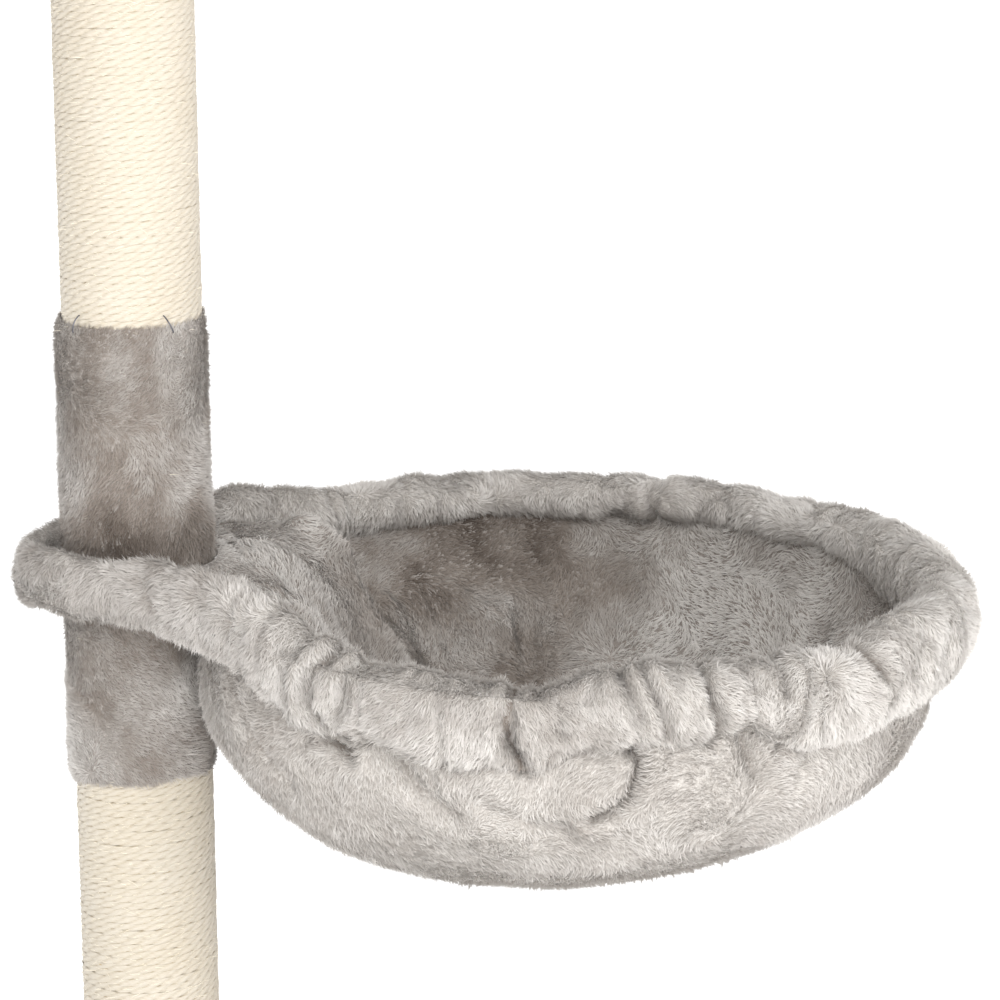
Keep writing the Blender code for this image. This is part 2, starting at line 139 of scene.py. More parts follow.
# ---------------------------------------------------------------- mesh helpers
def build_mesh(name, verts, quads=None, tris=None, smooth_shade=True):
    quads = np.zeros((0, 4), np.int64) if quads is None else np.asarray(quads)
    tris = np.zeros((0, 3), np.int64) if tris is None else np.asarray(tris)
    me = bpy.data.meshes.new(name)
    me.vertices.add(len(verts))
    me.vertices.foreach_set("co", np.asarray(verts, np.float32).ravel())
    loops = np.concatenate([quads.ravel(), tris.ravel()]).astype(np.int32)
    me.loops.add(len(loops))
    me.loops.foreach_set("vertex_index", loops)
    starts = np.concatenate(
        [np.arange(len(quads)) * 4, len(quads) * 4 + np.arange(len(tris)) * 3]
    ).astype(np.int32)
    me.polygons.add(len(starts))
    me.polygons.foreach_set("loop_start", starts)
    me.update(calc_edges=True)
    me.polygons.foreach_set("use_smooth", np.full(len(starts), smooth_shade))
    me.validate()
    return me


def put(name, me, mat, body):
    obj = bpy.data.objects.new(name, me)
    bpy.context.scene.collection.objects.link(obj)
    me.materials.append(mat)
    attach(obj, body)
    return obj


def grid(rows, cols, wrap_cols):
    """Quads over a (rows, cols) block of points. The columns may wrap."""
    r = np.arange(rows - 1)[:, None]
    c = np.arange(cols if wrap_cols else cols - 1)[None, :]
    c1 = (c + 1) % cols
    return np.stack(
        [r * cols + c, r * cols + c1, (r + 1) * cols + c1, (r + 1) * cols + c], -1
    ).reshape(-1, 4)


def set_uv(me, name, loop_uv):
    layer = me.uv_layers.new(name=name, do_init=False)
    layer.uv.foreach_set("vector", np.asarray(loop_uv, np.float32).ravel())
    return layer


def loop_vertices(me):
    out = np.empty(len(me.loops), np.int32)
    me.loops.foreach_get("vertex_index", out)
    return out


# ---------------------------------------------------------------- materials
def new_material(name):
    mat = bpy.data.materials.new(name)
    mat.use_nodes = True
    nt = mat.node_tree
    return mat, nt, nt.nodes["Principled BSDF"]


def node(nt, kind, **values):
    n = nt.nodes.new(kind)
    for key, value in values.items():
        setattr(n, key, value)
    return n


def noise_node(nt, vector, scale, detail=4.0, rough=0.55, distort=0.0):
    n = node(nt, "ShaderNodeTexNoise")
    n.inputs["Scale"].default_value = scale
    n.inputs["Detail"].default_value = detail
    n.inputs["Roughness"].default_value = rough
    n.inputs["Distortion"].default_value = distort
    if vector is not None:
        nt.links.new(vector, n.inputs["Vector"])
    return n


def ramp(nt, source, stops, interpolation="LINEAR"):
    n = node(nt, "ShaderNodeValToRGB")
    n.color_ramp.interpolation = interpolation
    while len(n.color_ramp.elements) < len(stops):
        n.color_ramp.elements.new(0.5)
    for element, (place, colour) in zip(n.color_ramp.elements, stops):
        element.position = place
        element.color = (*colour, 1.0)
    nt.links.new(source, n.inputs["Fac"])
    return n


def mapping(nt, source, scale=(1, 1, 1), rotation=(0, 0, 0)):
    n = node(nt, "ShaderNodeMapping")
    n.inputs["Scale"].default_value = scale
    n.inputs["Rotation"].default_value = rotation
    nt.links.new(source, n.inputs["Vector"])
    return n.outputs["Vector"]


def mix_colour(nt, factor, a, b, blend="MIX"):
    n = node(nt, "ShaderNodeMix", data_type="RGBA", blend_type=blend)
    for socket, value in ((n.inputs[0], factor), (n.inputs[6], a), (n.inputs[7], b)):
        if isinstance(value, bpy.types.NodeSocket):
            nt.links.new(value, socket)
        elif isinstance(value, (int, float)):
            socket.default_value = value
        else:
            socket.default_value = (*value, 1.0)
    return n.outputs[2]


def bump(nt, shader, height, strength, distance):
    n = node(nt, "ShaderNodeBump")
    n.inputs["Strength"].default_value = strength
    n.inputs["Distance"].default_value = distance
    nt.links.new(height, n.inputs["Height"])
    nt.links.new(n.outputs["Normal"], shader.inputs["Normal"])


PALETTE = [
    (0.00, (0.085, 0.066, 0.053)),
    (0.25, (0.220, 0.182, 0.153)),
    (0.50, (0.405, 0.356, 0.316)),
    (0.75, (0.610, 0.578, 0.548)),
    (1.00, (0.850, 0.828, 0.800)),
]


def pile_material():
    """The pile: its tint runs across the map and its depth up it, with painted shade at the roots and light at the
    tips.
    """
    mat, nt, shader = new_material("plush_pile")
    uv = node(nt, "ShaderNodeUVMap", uv_map="OFBake")
    split = node(nt, "ShaderNodeSeparateXYZ")
    nt.links.new(uv.outputs["UV"], split.inputs["Vector"])
    tint = ramp(nt, split.outputs["X"], PALETTE)
    # Painted shade: the tufts are darkened towards their roots and lit towards their tips.
    root_shade = ramp(
        nt,
        split.outputs["Y"],
        [(0.0, (0.62, 0.60, 0.58)), (0.45, (0.87, 0.865, 0.86)), (1.0, (1.0, 1.0, 1.0))],
    )
    colour = mix_colour(nt, 1.0, tint.outputs["Color"], root_shade.outputs["Color"], "MULTIPLY")
    fine = noise_node(nt, mapping(nt, uv.outputs["UV"], (60, 3, 1)), 6.0, 3.0)
    fleck = ramp(nt, fine.outputs["Fac"], [(0.3, (0.93, 0.925, 0.92)), (0.7, (1.0, 1.0, 1.0))])
    colour = mix_colour(nt, 1.0, colour, fleck.outputs["Color"], "MULTIPLY")
    nt.links.new(colour, shader.inputs["Base Color"])
    shader.inputs["Roughness"].default_value = 0.72
    shader.inputs["Specular IOR Level"].default_value = 0.25
    shader.inputs["Sheen Weight"].default_value = 0.25
    shader.inputs["Sheen Roughness"].default_value = 0.5
    # Fine fibre lets some of the light behind it through.
    through = node(nt, "ShaderNodeBsdfTranslucent")
    nt.links.new(colour, through.inputs["Color"])
    both = node(nt, "ShaderNodeMixShader")
    both.inputs["Fac"].default_value = 0.37
    nt.links.new(shader.outputs["BSDF"], both.inputs[1])
    nt.links.new(through.outputs["BSDF"], both.inputs[2])
    nt.links.new(both.outputs["Shader"], nt.nodes["Material Output"].inputs["Surface"])
    return mat


def backing_material(name, stops):
    """The knitted backing of the plush, seen only between the tufts and at cut edges."""
    mat, nt, shader = new_material(name)
    where = node(nt, "ShaderNodeTexCoord").outputs["Object"]
    patch = noise_node(nt, where, 24.0, 3.0)
    weave = noise_node(nt, mapping(nt, where, (900, 900, 900)), 1.0, 2.0)
    base = ramp(nt, patch.outputs["Fac"], stops)
    fleck = ramp(nt, weave.outputs["Fac"], [(0.3, (0.62, 0.60, 0.58)), (0.7, (1.0, 1.0, 1.0))])
    colour = mix_colour(nt, 1.0, base.outputs["Color"], fleck.outputs["Color"], "MULTIPLY")
    nt.links.new(colour, shader.inputs["Base Color"])
    shader.inputs["Roughness"].default_value = 0.95
    shader.inputs["Specular IOR Level"].default_value = 0.15
    shader.inputs["Sheen Weight"].default_value = 0.2
    bump(nt, shader, weave.outputs["Fac"], 0.7, 0.0008)
    return mat


# One backing cloth in three copies with painted light and shade: the light copy for the roll and the bowl's outside,
# the mid copy for the sleeves and covers, the dark copy as painted shade for the lining inside the bowl.
PILE = pile_material()
BACK_LIGHT = backing_material(
    "plush_backing_light", [(0.3, (0.42, 0.395, 0.37)), (0.7, (0.56, 0.535, 0.505))]
)
BACK_MID = backing_material(
    "plush_backing_mid", [(0.3, (0.26, 0.235, 0.212)), (0.7, (0.40, 0.37, 0.345))]
)
BACK_DARK = backing_material(
    "plush_backing_dark", [(0.3, (0.23, 0.205, 0.185)), (0.7, (0.37, 0.34, 0.315))]
)


def sisal_material():
    mat, nt, shader = new_material("sisal_rope")
    uv = node(nt, "ShaderNodeUVMap", uv_map="rope").outputs["UV"]
    where = node(nt, "ShaderNodeTexCoord").outputs["Object"]
    along = mapping(nt, uv, (260, 2400, 1), (0, 0, 0.10))
    fibres = noise_node(nt, along, 1.0, 5.0, 0.6)
    blotch = noise_node(nt, where, 30.0, 3.0)
    tone = ramp(
        nt,
        fibres.outputs["Fac"],
        [
            (0.25, (0.435, 0.375, 0.285)),
            (0.42, (0.505, 0.454, 0.375)),
            (0.60, (0.548, 0.507, 0.438)),
            (0.80, (0.588, 0.554, 0.497)),
        ],
    )
    warm = ramp(nt, blotch.outputs["Fac"], [(0.3, (0.965, 0.95, 0.92)), (0.7, (1.0, 1.0, 1.0))])
    colour = mix_colour(nt, 1.0, tone.outputs["Color"], warm.outputs["Color"], "MULTIPLY")
    speck = noise_node(nt, mapping(nt, uv, (160, 900, 1)), 1.0, 2.0)
    dark = ramp(nt, speck.outputs["Fac"], [(0.22, (1.0, 1.0, 1.0)), (0.26, (0.0, 0.0, 0.0))])
    colour = mix_colour(nt, dark.outputs["Color"], colour, (0.46, 0.36, 0.22))
    # Painted shade: the valleys between the strands and the seams between the turns are darkened.
    lay = node(nt, "ShaderNodeUVMap", uv_map="lay")
    split = node(nt, "ShaderNodeSeparateXYZ")
    nt.links.new(lay.outputs["UV"], split.inputs["Vector"])
    strand_valley_shade = ramp(nt, split.outputs["X"], [(0.05, (0.86, 0.83, 0.77)), (0.45, (0.97, 0.96, 0.945)), (0.8, (1.0, 1.0, 1.0))])
    joined = node(nt, "ShaderNodeMath", operation="MULTIPLY")
    for side, out in enumerate("XY"):
        turned = node(nt, "ShaderNodeMath", operation="SUBTRACT")
        turned.inputs[0].default_value = 1.0
        nt.links.new(split.outputs[out], turned.inputs[1])
        nt.links.new(turned.outputs[0], joined.inputs[side])
    seam = ramp(nt, joined.outputs[0], [(0.12, (1.0, 1.0, 1.0)), (0.55, (0.70, 0.63, 0.52))])
    colour = mix_colour(nt, 1.0, colour, strand_valley_shade.outputs["Color"], "MULTIPLY")
    colour = mix_colour(nt, 1.0, colour, seam.outputs["Color"], "MULTIPLY")
    nt.links.new(colour, shader.inputs["Base Color"])
    shader.inputs["Roughness"].default_value = 0.78
    shader.inputs["Specular IOR Level"].default_value = 0.3
    shader.inputs["Sheen Weight"].default_value = 0.15
    bump(nt, shader, fibres.outputs["Fac"], 0.55, 0.0006)
    return mat


def fibre_material():
    mat, nt, shader = new_material("sisal_fibre")
    uv = node(nt, "ShaderNodeUVMap", uv_map="OFBake").outputs["UV"]
    fine = noise_node(nt, mapping(nt, uv, (40, 4, 1)), 3.0, 2.0)
    tone = ramp(nt, fine.outputs["Fac"], [(0.3, (0.74, 0.65, 0.47)), (0.7, (0.95, 0.91, 0.79))])
    nt.links.new(tone.outputs["Color"], shader.inputs["Base Color"])
    shader.inputs["Roughness"].default_value = 0.6
    return mat


def chipboard_material():
    mat, nt, shader = new_material("chipboard")
    where = node(nt, "ShaderNodeTexCoord").outputs["Object"]
    chips = node(nt, "ShaderNodeTexVoronoi")
    chips.inputs["Scale"].default_value = 260.0
    nt.links.new(mapping(nt, where, (1.0, 0.45, 1.0)), chips.inputs["Vector"])
    cell = node(nt, "ShaderNodeSeparateColor")
    nt.links.new(chips.outputs["Color"], cell.inputs["Color"])
    tone = ramp(
        nt,
        cell.outputs[0],
        [(0.0, (0.30, 0.19, 0.105)), (0.5, (0.47, 0.33, 0.20)), (1.0, (0.62, 0.47, 0.31))],
    )
    dust = noise_node(nt, where, 900.0, 2.0)
    spot = ramp(nt, dust.outputs["Fac"], [(0.35, (0.8, 0.78, 0.75)), (0.6, (1, 1, 1))])
    colour = mix_colour(nt, 1.0, tone.outputs["Color"], spot.outputs["Color"], "MULTIPLY")
    nt.links.new(colour, shader.inputs["Base Color"])
    shader.inputs["Roughness"].default_value = 0.85
    bump(nt, shader, dust.outputs["Fac"], 0.4, 0.0004)
    return mat


def cardboard_material():
    mat, nt, shader = new_material("cardboard")
    where = node(nt, "ShaderNodeTexCoord").outputs["Object"]
    fibre = noise_node(nt, mapping(nt, where, (220, 220, 700)), 1.0, 4.0)
    tone = ramp(nt, fibre.outputs["Fac"], [(0.3, (0.34, 0.24, 0.15)), (0.7, (0.50, 0.38, 0.25))])
    nt.links.new(tone.outputs["Color"], shader.inputs["Base Color"])
    shader.inputs["Roughness"].default_value = 0.9
    bump(nt, shader, fibre.outputs["Fac"], 0.3, 0.0004)
    return mat


def metal_material(name, dark, light, rough, metallic):
    mat, nt, shader = new_material(name)
    where = node(nt, "ShaderNodeTexCoord").outputs["Object"]
    stain = noise_node(nt, where, 180.0, 5.0)
    scratch = noise_node(nt, mapping(nt, where, (2600, 400, 400)), 1.0, 2.0)
    tone = ramp(nt, stain.outputs["Fac"], [(0.3, dark), (0.7, light)])
    nt.links.new(tone.outputs["Color"], shader.inputs["Base Color"])
    gloss = node(nt, "ShaderNodeMapRange")
    gloss.inputs["To Min"].default_value = max(rough - 0.1, 0.05)
    gloss.inputs["To Max"].default_value = rough + 0.12
    nt.links.new(scratch.outputs["Fac"], gloss.inputs["Value"])
    nt.links.new(gloss.outputs["Result"], shader.inputs["Roughness"])
    shader.inputs["Metallic"].default_value = metallic
    bump(nt, shader, scratch.outputs["Fac"], 0.15, 0.0002)
    return mat


def elastic_material():
    mat, nt, shader = new_material("elastic_braid")
    where = node(nt, "ShaderNodeTexCoord").outputs["Object"]
    braid = node(nt, "ShaderNodeTexWave", bands_direction="DIAGONAL")
    braid.inputs["Scale"].default_value = 320.0
    nt.links.new(where, braid.inputs["Vector"])
    tone = ramp(nt, braid.outputs["Fac"], [(0.2, (0.55, 0.54, 0.52)), (0.8, (0.82, 0.81, 0.79))])
    nt.links.new(tone.outputs["Color"], shader.inputs["Base Color"])
    shader.inputs["Roughness"].default_value = 0.7
    bump(nt, shader, braid.outputs["Fac"], 0.5, 0.0004)
    return mat


SISAL, FIBRE = sisal_material(), fibre_material()
WEAR = {
    "chipboard": chipboard_material(),
    "cardboard": cardboard_material(),
    "zinc": metal_material("zinc_plate", (0.42, 0.43, 0.45), (0.66, 0.67, 0.68), 0.34, 1.0),
    "black_wire": metal_material("black_coat", (0.015, 0.015, 0.016), (0.035, 0.035, 0.036), 0.42, 0.0),
    "staple_wire": metal_material("staple_steel", (0.06, 0.06, 0.07), (0.16, 0.16, 0.18), 0.35, 1.0),
    "elastic": elastic_material(),
}
for part in frame["record"]["subparts"]:
    finish = WEAR.get(part["material_slot"])
    if finish is None:
        continue
    obj = frame["nodes"][part["node"]]
    for slot in obj.material_slots:
        slot.material = finish


# ---------------------------------------------------------------- wound rope
def rope(name, node_name, seed):
    low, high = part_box(node_name)
    z0, z1 = float(low[2]), float(high[2])
    radius, pitch = 2.42 * MM, 4.82 * MM
    centre = ROPE_R - radius
    steps = 190
    turns = (z1 - z0 - 2 * radius) / pitch
    count = int(turns * steps) + 1
    theta = 2 * math.pi * np.arange(count) / steps + seed
    s = centre * (theta - theta[0])
    psi = np.radians([-98, -74, -49, -24, 0, 24, 49, 74, 98])
    lay = 30 * MM
    # The three strands, with a little unevenness along the rope.
    wob = np.stack([s / 0.045, np.full(count, 3.1), np.full(count, seed * 1.7)], 1)
    swell = 1 + 0.035 * noise3(wob, 11)
    rise = 0.34 * MM * noise3(wob * [3.2, 1, 1], 12)
    out = 0.30 * MM * noise3(wob * [2.0, 1, 1], 13)
    twist = 2 * math.pi * s / lay + 0.7 * noise3(wob * [0.5, 1, 1], 14)
    strand = np.abs(np.cos(1.5 * (psi[None, :] - twist[:, None])))
    dent = 0.52 + 0.50 * strand**0.6
    r = radius * swell[:, None]
    flat = 0.80 + 0.20 * np.maximum(np.cos(psi), 0)[None, :] ** 0.5
    radial = centre + out[:, None] + r * (flat * dent - 0.10 * (1 - strand) ** 2)
    z = (
        z0
        + radius
        + pitch * (theta - theta[0])[:, None] / (2 * math.pi)
        + rise[:, None]
        + r * 1.14 * np.sin(psi)[None, :]
    )
    x = PX + radial * np.cos(theta)[:, None]
    y = radial * np.sin(theta)[:, None]
    verts = np.stack([x, y, z], -1).reshape(-1, 3)
    quads = grid(count, len(psi), False)[:, ::-1]
    me = build_mesh(name, verts, quads)
    uv = np.stack(
        [np.repeat(s, len(psi)), np.tile(psi * radius, count) + np.repeat(seed + s * 0.0, len(psi))], 1
    )
    set_uv(me, "rope", uv[loop_vertices(me)])
    # Where each point is between two strands, and between two turns, for the painted shade there.
    lay_uv = np.stack([strand, np.broadcast_to(np.maximum(np.cos(psi), 0), strand.shape)], -1).reshape(-1, 2)
    set_uv(me, "lay", lay_uv[loop_vertices(me)])
    obj = put(name, me, SISAL, "stand")
    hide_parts(node_name)
    # Loose fibres that stand off the rope.
    rng = np.random.default_rng(seed + 5)
    n = int(5200 * DENSITY)
    k = rng.integers(0, count - 2, n)
    face = rng.integers(1, len(psi) - 1, n)
    root = verts.reshape(count, len(psi), 3)[k, face]
    th = theta[k]
    tangent = np.stack([-np.sin(th), np.cos(th), np.full(n, 0.02)], 1)
    outward = np.stack([np.cos(th), np.sin(th), np.zeros(n)], 1)
    side = rng.choice([-1.0, 1.0], n)[:, None]
    length = rng.gamma(2.2, 1.9, n)[:, None] * MM
    length = np.clip(length, 1.5 * MM, 13 * MM)
    drift = rng.normal(0, 1, (n, 3)) * 0.38
    d1 = unit(tangent * side + outward * rng.uniform(0.05, 0.55, n)[:, None] + drift * 0.6)
    d2 = unit(d1 + outward * rng.uniform(-0.25, 0.5, n)[:, None] + drift * 0.7)
    p1 = root + d1 * length * 0.5
    p2 = p1 + d2 * length * 0.5
    wide = unit(np.cross(d1, outward)) * (rng.uniform(0.06, 0.13, n)[:, None] * MM)
    v = np.stack([root - wide, root + wide, p1 - wide * 0.8, p1 + wide * 0.8, p2], 1).reshape(-1, 3)
    b = np.arange(n)[:, None] * 5
    me = build_mesh(
        name + "_fibres", v, b + np.array([[0, 1, 3, 2]]), b + np.array([[2, 3, 4]]), False
    )
    u = rng.uniform(0.05, 0.95, n)
    uv = np.stack(
        [np.stack([u - 0.01, u + 0.01, u - 0.01, u + 0.01, u], 1), np.tile([0, 0, 0.5, 0.5, 1.0], (n, 1))], -1
    ).reshape(-1, 2)
    set_uv(me, "OFBake", uv[loop_vertices(me)])
    put(name + "_fibres", me, FIBRE, "stand")


rope("rope_lower", "lower_sisal_rope", 3)
rope("rope_upper", "upper_sisal_rope", 8)


# ---------------------------------------------------------------- pile
def mesh_arrays(me):
    me.calc_loop_triangles()
    tri = np.empty(len(me.loop_triangles) * 3, np.int32)
    me.loop_triangles.foreach_get("vertices", tri)
    tri = tri.reshape(-1, 3)
    co = np.empty(len(me.vertices) * 3, np.float32)
    me.vertices.foreach_get("co", co)
    no = np.empty(len(me.vertices) * 3, np.float32)
    me.vertex_normals.foreach_get("vector", no)
    return co.reshape(-1, 3).astype(float), no.reshape(-1, 3).astype(float), tri


def locks(root, size, seed):
    """The middle of the lock of pile that each root belongs to."""
    cell = np.floor(root / size).astype(np.int64)
    best = np.full(len(root), np.inf)
    middle = np.zeros_like(root)
    name = np.zeros(len(root))
    for dx in (-1, 0, 1):
        for dy in (-1, 0, 1):
            for dz in (-1, 0, 1):
                c = cell + [dx, dy, dz]
                j = np.stack([hashed(c[:, 0], c[:, 1], c[:, 2], seed + k) for k in range(3)], 1)
                m = (c + j) * size
                far = ((m - root) ** 2).sum(1)
                near = far < best
                best = np.where(near, far, best)
                middle = np.where(near[:, None], m, middle)
                name = np.where(near, hashed(c[:, 0], c[:, 1], c[:, 2], seed + 9), name)
    return middle, name


def pile(name, base, count, length, width, look, body, seed, side=1.0, weight=None, clump=0.35, lift=(0.15, 0.55), over=None):
    """Covers a cloth with tufts. look(points, normals) gives each tuft's lie, tint and share of the full length; side says which face of the cloth wears the pile."""
    rng = np.random.default_rng(seed)
    co, no, tri = mesh_arrays(base.data)
    no = no * side
    a, b, c = co[tri[:, 0]], co[tri[:, 1]], co[tri[:, 2]]
    area = np.linalg.norm(np.cross(b - a, c - a), axis=1) / 2
    if weight is not None:
        area = area * weight((a + b + c) / 3)
    count = int(count * DENSITY)
    pick = rng.choice(len(tri), count, p=area / area.sum())
    u, v = rng.random(count), rng.random(count)
    flip = u + v > 1
    u[flip], v[flip] = 1 - u[flip], 1 - v[flip]
    w = 1 - u - v
    t = tri[pick]
    root = co[t[:, 0]] * w[:, None] + co[t[:, 1]] * u[:, None] + co[t[:, 2]] * v[:, None]
    normal = unit(no[t[:, 0]] * w[:, None] + no[t[:, 1]] * u[:, None] + no[t[:, 2]] * v[:, None])
    lie, tint, share = look(root, normal)
    lie = lie - normal * (lie * normal).sum(1, keepdims=True)
    lie = unit(unit(lie) + rng.normal(0, 0.30, (count, 3)))
    # How far each tuft stands up: neighbours agree, so the nap shows in patches.
    stand = 0.5 + 0.5 * noise3(root / 0.020, seed + 1)
    stand = lift[0] + (lift[1] - lift[0]) * np.clip(stand + rng.normal(0, 0.15, count), 0, 1)
    middle, lock = locks(root, length * 0.75, seed + 40)
    long = length * share * (0.82 + 0.18 * noise3(root / 0.011, seed + 2)) * rng.uniform(0.72, 1.12, count)
    long = long * (0.86 + 0.28 * lock)
    d1 = unit(lie * np.cos(stand * 1.3)[:, None] + normal * np.sin(stand * 1.3)[:, None])
    d2 = unit(lie * np.cos(stand * 0.75)[:, None] + normal * np.sin(stand * 0.75)[:, None] * 0.9)
    mid = root + d1 * (long * 0.48)[:, None]
    tip = mid + d2 * (long * 0.52)[:, None]
    # Each tuft leans towards the middle of its lock.
    aside = middle - root
    aside = aside - normal * (aside * normal).sum(1, keepdims=True)
    aside = aside * np.minimum(1, length / np.maximum(np.linalg.norm(aside, axis=1), 1e-9))[:, None]
    pull = clump * rng.uniform(0.5, 1.0, count)[:, None]
    tip = tip + aside * pull
    mid = mid + aside * pull * 0.4
    if over is not None:
        mid[:, 2], tip[:, 2] = np.maximum(mid[:, 2], over), np.maximum(tip[:, 2], over)
    tint = np.clip(tint + 0.13 * (lock - 0.5) + rng.normal(0, 0.028, count), 0.02, 0.98)
    across = unit(np.cross(normal, d1 + lie * 0.5))
    across = unit(across + normal * rng.normal(0, 0.22, count)[:, None])
    wide = across * (width * rng.uniform(0.7, 1.2, count) / 2)[:, None]
    verts = np.stack([root - wide, root + wide, mid - wide * 0.85, mid + wide * 0.85, tip], 1).reshape(-1, 3)
    base_i = np.arange(count)[:, None] * 5
    quads = base_i + np.array([[0, 1, 3, 2]])
    tris = base_i + np.array([[2, 3, 4]])
    # Every tuft turns its face outwards.
    turned_in = (np.cross(wide, mid - root) * normal).sum(1) < 0
    quads[turned_in] = quads[turned_in][:, ::-1]
    tris[turned_in] = tris[turned_in][:, ::-1]
    me = build_mesh(name, verts, quads, tris, True)
    # The map's X carries the tint, with its painted light and shade, and Y runs from root to tip for the pile's painted
    # root shade.
    uv = np.stack(
        [
            np.stack([tint - 0.006, tint + 0.006, tint - 0.006, tint + 0.006, tint], 1),
            np.tile([0.02, 0.02, 0.5, 0.5, 0.98], (count, 1)),
        ],
        -1,
    ).reshape(-1, 2)
    set_uv(me, "OFBake", uv[loop_vertices(me)])
    # Light falls on the nap as a whole, so each tuft borrows the cloth's own direction.
    own = unit(np.cross(wide, mid - root))
    own = own * np.where((own * normal).sum(1, keepdims=True) < 0, -1, 1)
    soft = unit(normal * 0.45 + own * 0.55)
    soft_tip = unit(normal * 0.42 + d2 * 0.20 + own * 0.38)
    per = np.stack([soft, soft, soft, soft, soft_tip], 1).reshape(-1, 3)
    me.normals_split_custom_set_from_vertices(per.tolist())
    return put(name, me, PILE, body)


def swirl(p, scale, seed):
    """A wandering direction that neighbours share."""
    q = p / scale
    return np.stack([fbm(q, 2, seed), fbm(q + 31.7, 2, seed + 1), fbm(q - 17.3, 2, seed + 2)], 1)


# ---------------------------------------------------------------- sleeves
def sleeve(name, node_name, top_wave, low_wave, seed):
    low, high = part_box(node_name)
    z0, z1 = float(low[2]), float(high[2])
    around, up = 180, 60
    th = 2 * math.pi * np.arange(around) / around
    t = np.linspace(0, 1, up)
    TH, T = np.meshgrid(th, t)
    z = z0 + low_wave(TH) * (1 - T) + (z1 - z0 + top_wave(TH)) * T
    p = np.stack([np.cos(TH), np.sin(TH), z * 18], -1).reshape(-1, 3)
    r = 47.5 * MM + 0.9 * MM * fbm(p * [2.2, 2.2, 1.0], 3, seed).reshape(TH.shape)
    # The seam at the back, where one edge laps the other.
    seam = np.exp(-(((TH - 1.75) / 0.05) ** 2))
    r = r + 1.1 * MM * seam
    # Pulled in by its stitches at both ends.
    r = r - 1.2 * MM * (smooth(0.90, 1.0, T) + smooth(0.10, 0.0, T))
    r = np.maximum(r, 46.4 * MM)
    # The cut edges tuck in against the rope.
    tuck = np.maximum(smooth(0.965, 1.0, T), smooth(0.035, 0.0, T))
    r = r * (1 - tuck) + 45.3 * MM * tuck
    high = smooth(0.045, 0.080, np.abs(z - JZ))
    r = r + 0.35 * MM * (1 - high)
    verts = np.stack([PX - 1.0 * MM * (1 - tuck) * high + r * np.cos(TH), r * np.sin(TH), z], -1).reshape(-1, 3)
    me = build_mesh(name, verts, grid(up, around, True))
    obj = put(name, me, BACK_MID, "stand")
    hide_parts(node_name)

    def look(root, normal):
        up_edge = smooth(z1 - 0.012, z1, root[:, 2]) if "upper" in name else 0 * root[:, 2]
        lie = np.stack([np.zeros(len(root))] * 2 + [-0.45 + 1.1 * up_edge], 1)
        lie = lie + 1.9 * swirl(root, 0.060, seed + 3)
        # Beside the joint the pile lies away from it, so that the frame turns freely.
        if "upper" in name:
            near = smooth(z0 + 0.016, z0 + 0.007, root[:, 2])
            lie[:, 2] = lie[:, 2] * (1 - near) + near * (np.abs(lie[:, 2]) + 1.6)
        else:
            near = smooth(z1 - 0.016, z1 - 0.007, root[:, 2])
            lie[:, 2] = lie[:, 2] * (1 - near) - near * (np.abs(lie[:, 2]) + 1.6)
        patch = fbm(root / [0.030, 0.030, 0.042], 3, seed + 4)
        across = np.abs(root[:, 0] - PX) / (48 * MM)
        # Painted light lightens the sleeve's left and right sides, and a painted shadow darkens the band just above the
        # joint, under the hammock's collar.
        tint = (0.565 if "upper" in name else 0.62) + 0.36 * patch + 0.06 * fbm(root / 0.008, 2, seed + 5) + 0.18 * smooth(0.3, 1.0, across)
        tint = tint - 0.22 * smooth(0.046, 0.008, np.abs(root[:, 2] - JZ - 0.032))
        return lie, tint, 1.0 - 0.15 * up_edge

    fur = pile(name + "_pile", obj, 52000 * (z1 - z0) / 0.15, 6.0 * MM, 0.55 * MM, look, "stand", seed + 6, lift=(0.15, 0.5))


sleeve(
    "sleeve_upper",
    "upper_plush_sleeve",
    lambda th: 2.6 * MM * np.sin(th) + 0.6 * MM * np.sin(3 * th),
    lambda th: 0 * th,
    21,
)
sleeve(
    "sleeve_lower",
    "lower_plush_sleeve",
    lambda th: 0 * th,
    lambda th: 4.0 * MM * np.clip(-np.sin(th), 0, 1) + 3.0 * MM * np.cos(th) + 0.8 * MM * np.sin(5 * th),
    34,
)


# ---------------------------------------------------------------- hammock outlines
def outline(delta):
    delta = np.arctan2(np.sin(delta), np.cos(delta))
    broad = HOOP_R + 57 * MM * np.exp(-((delta / math.radians(22)) ** 2))
    across = HOOP_X * np.sin(delta)
    inside = (np.abs(delta) < math.pi / 2) & (np.abs(across) < COLLAR_LOOP_R)
    loop = HOOP_X * np.cos(delta) + np.sqrt(np.maximum(COLLAR_LOOP_R**2 - across**2, 0))
    return np.where(inside, np.maximum(broad, loop), broad)


def path_radius(delta):
    return np.mean([outline(delta + math.radians(k)) for k in range(-4, 5)], axis=0)


def bowl_radius(delta):
    """The bowl's own edge: the hoop with its straight side, let out a little."""
    c = np.cos(delta)
    bar = 236 * MM / np.maximum(c, 0.05)
    full = 244 * MM
    return np.where(c <= 0.05, full, (full**-16.0 + bar**-16.0) ** (-1 / 16))


def plane_z(x, y):
    """World height of the hoop's plane over a point from the post's axis."""
    return HOOP_Z - DROOP * x + LEAN * y


def at(radius, delta, up):
    """World points at a radius from the bowl's middle, and a height off the hoop's plane."""
    x, y = HOOP_X - radius * np.cos(delta), radius * np.sin(delta)
    return np.stack([PX + x, y, plane_z(x, y) + up], -1)


def clear_of_post(points, gap):
    """Moves points straight out from the post's axis until they are clear of the sleeve."""
    x, y = points[..., 0] - PX, points[..., 1]
    reach = np.maximum(np.hypot(x, y), 1e-6)
    push = np.maximum(reach, gap) / reach
    points[..., 0] = PX + x * push
    points[..., 1] = y * push
    return points


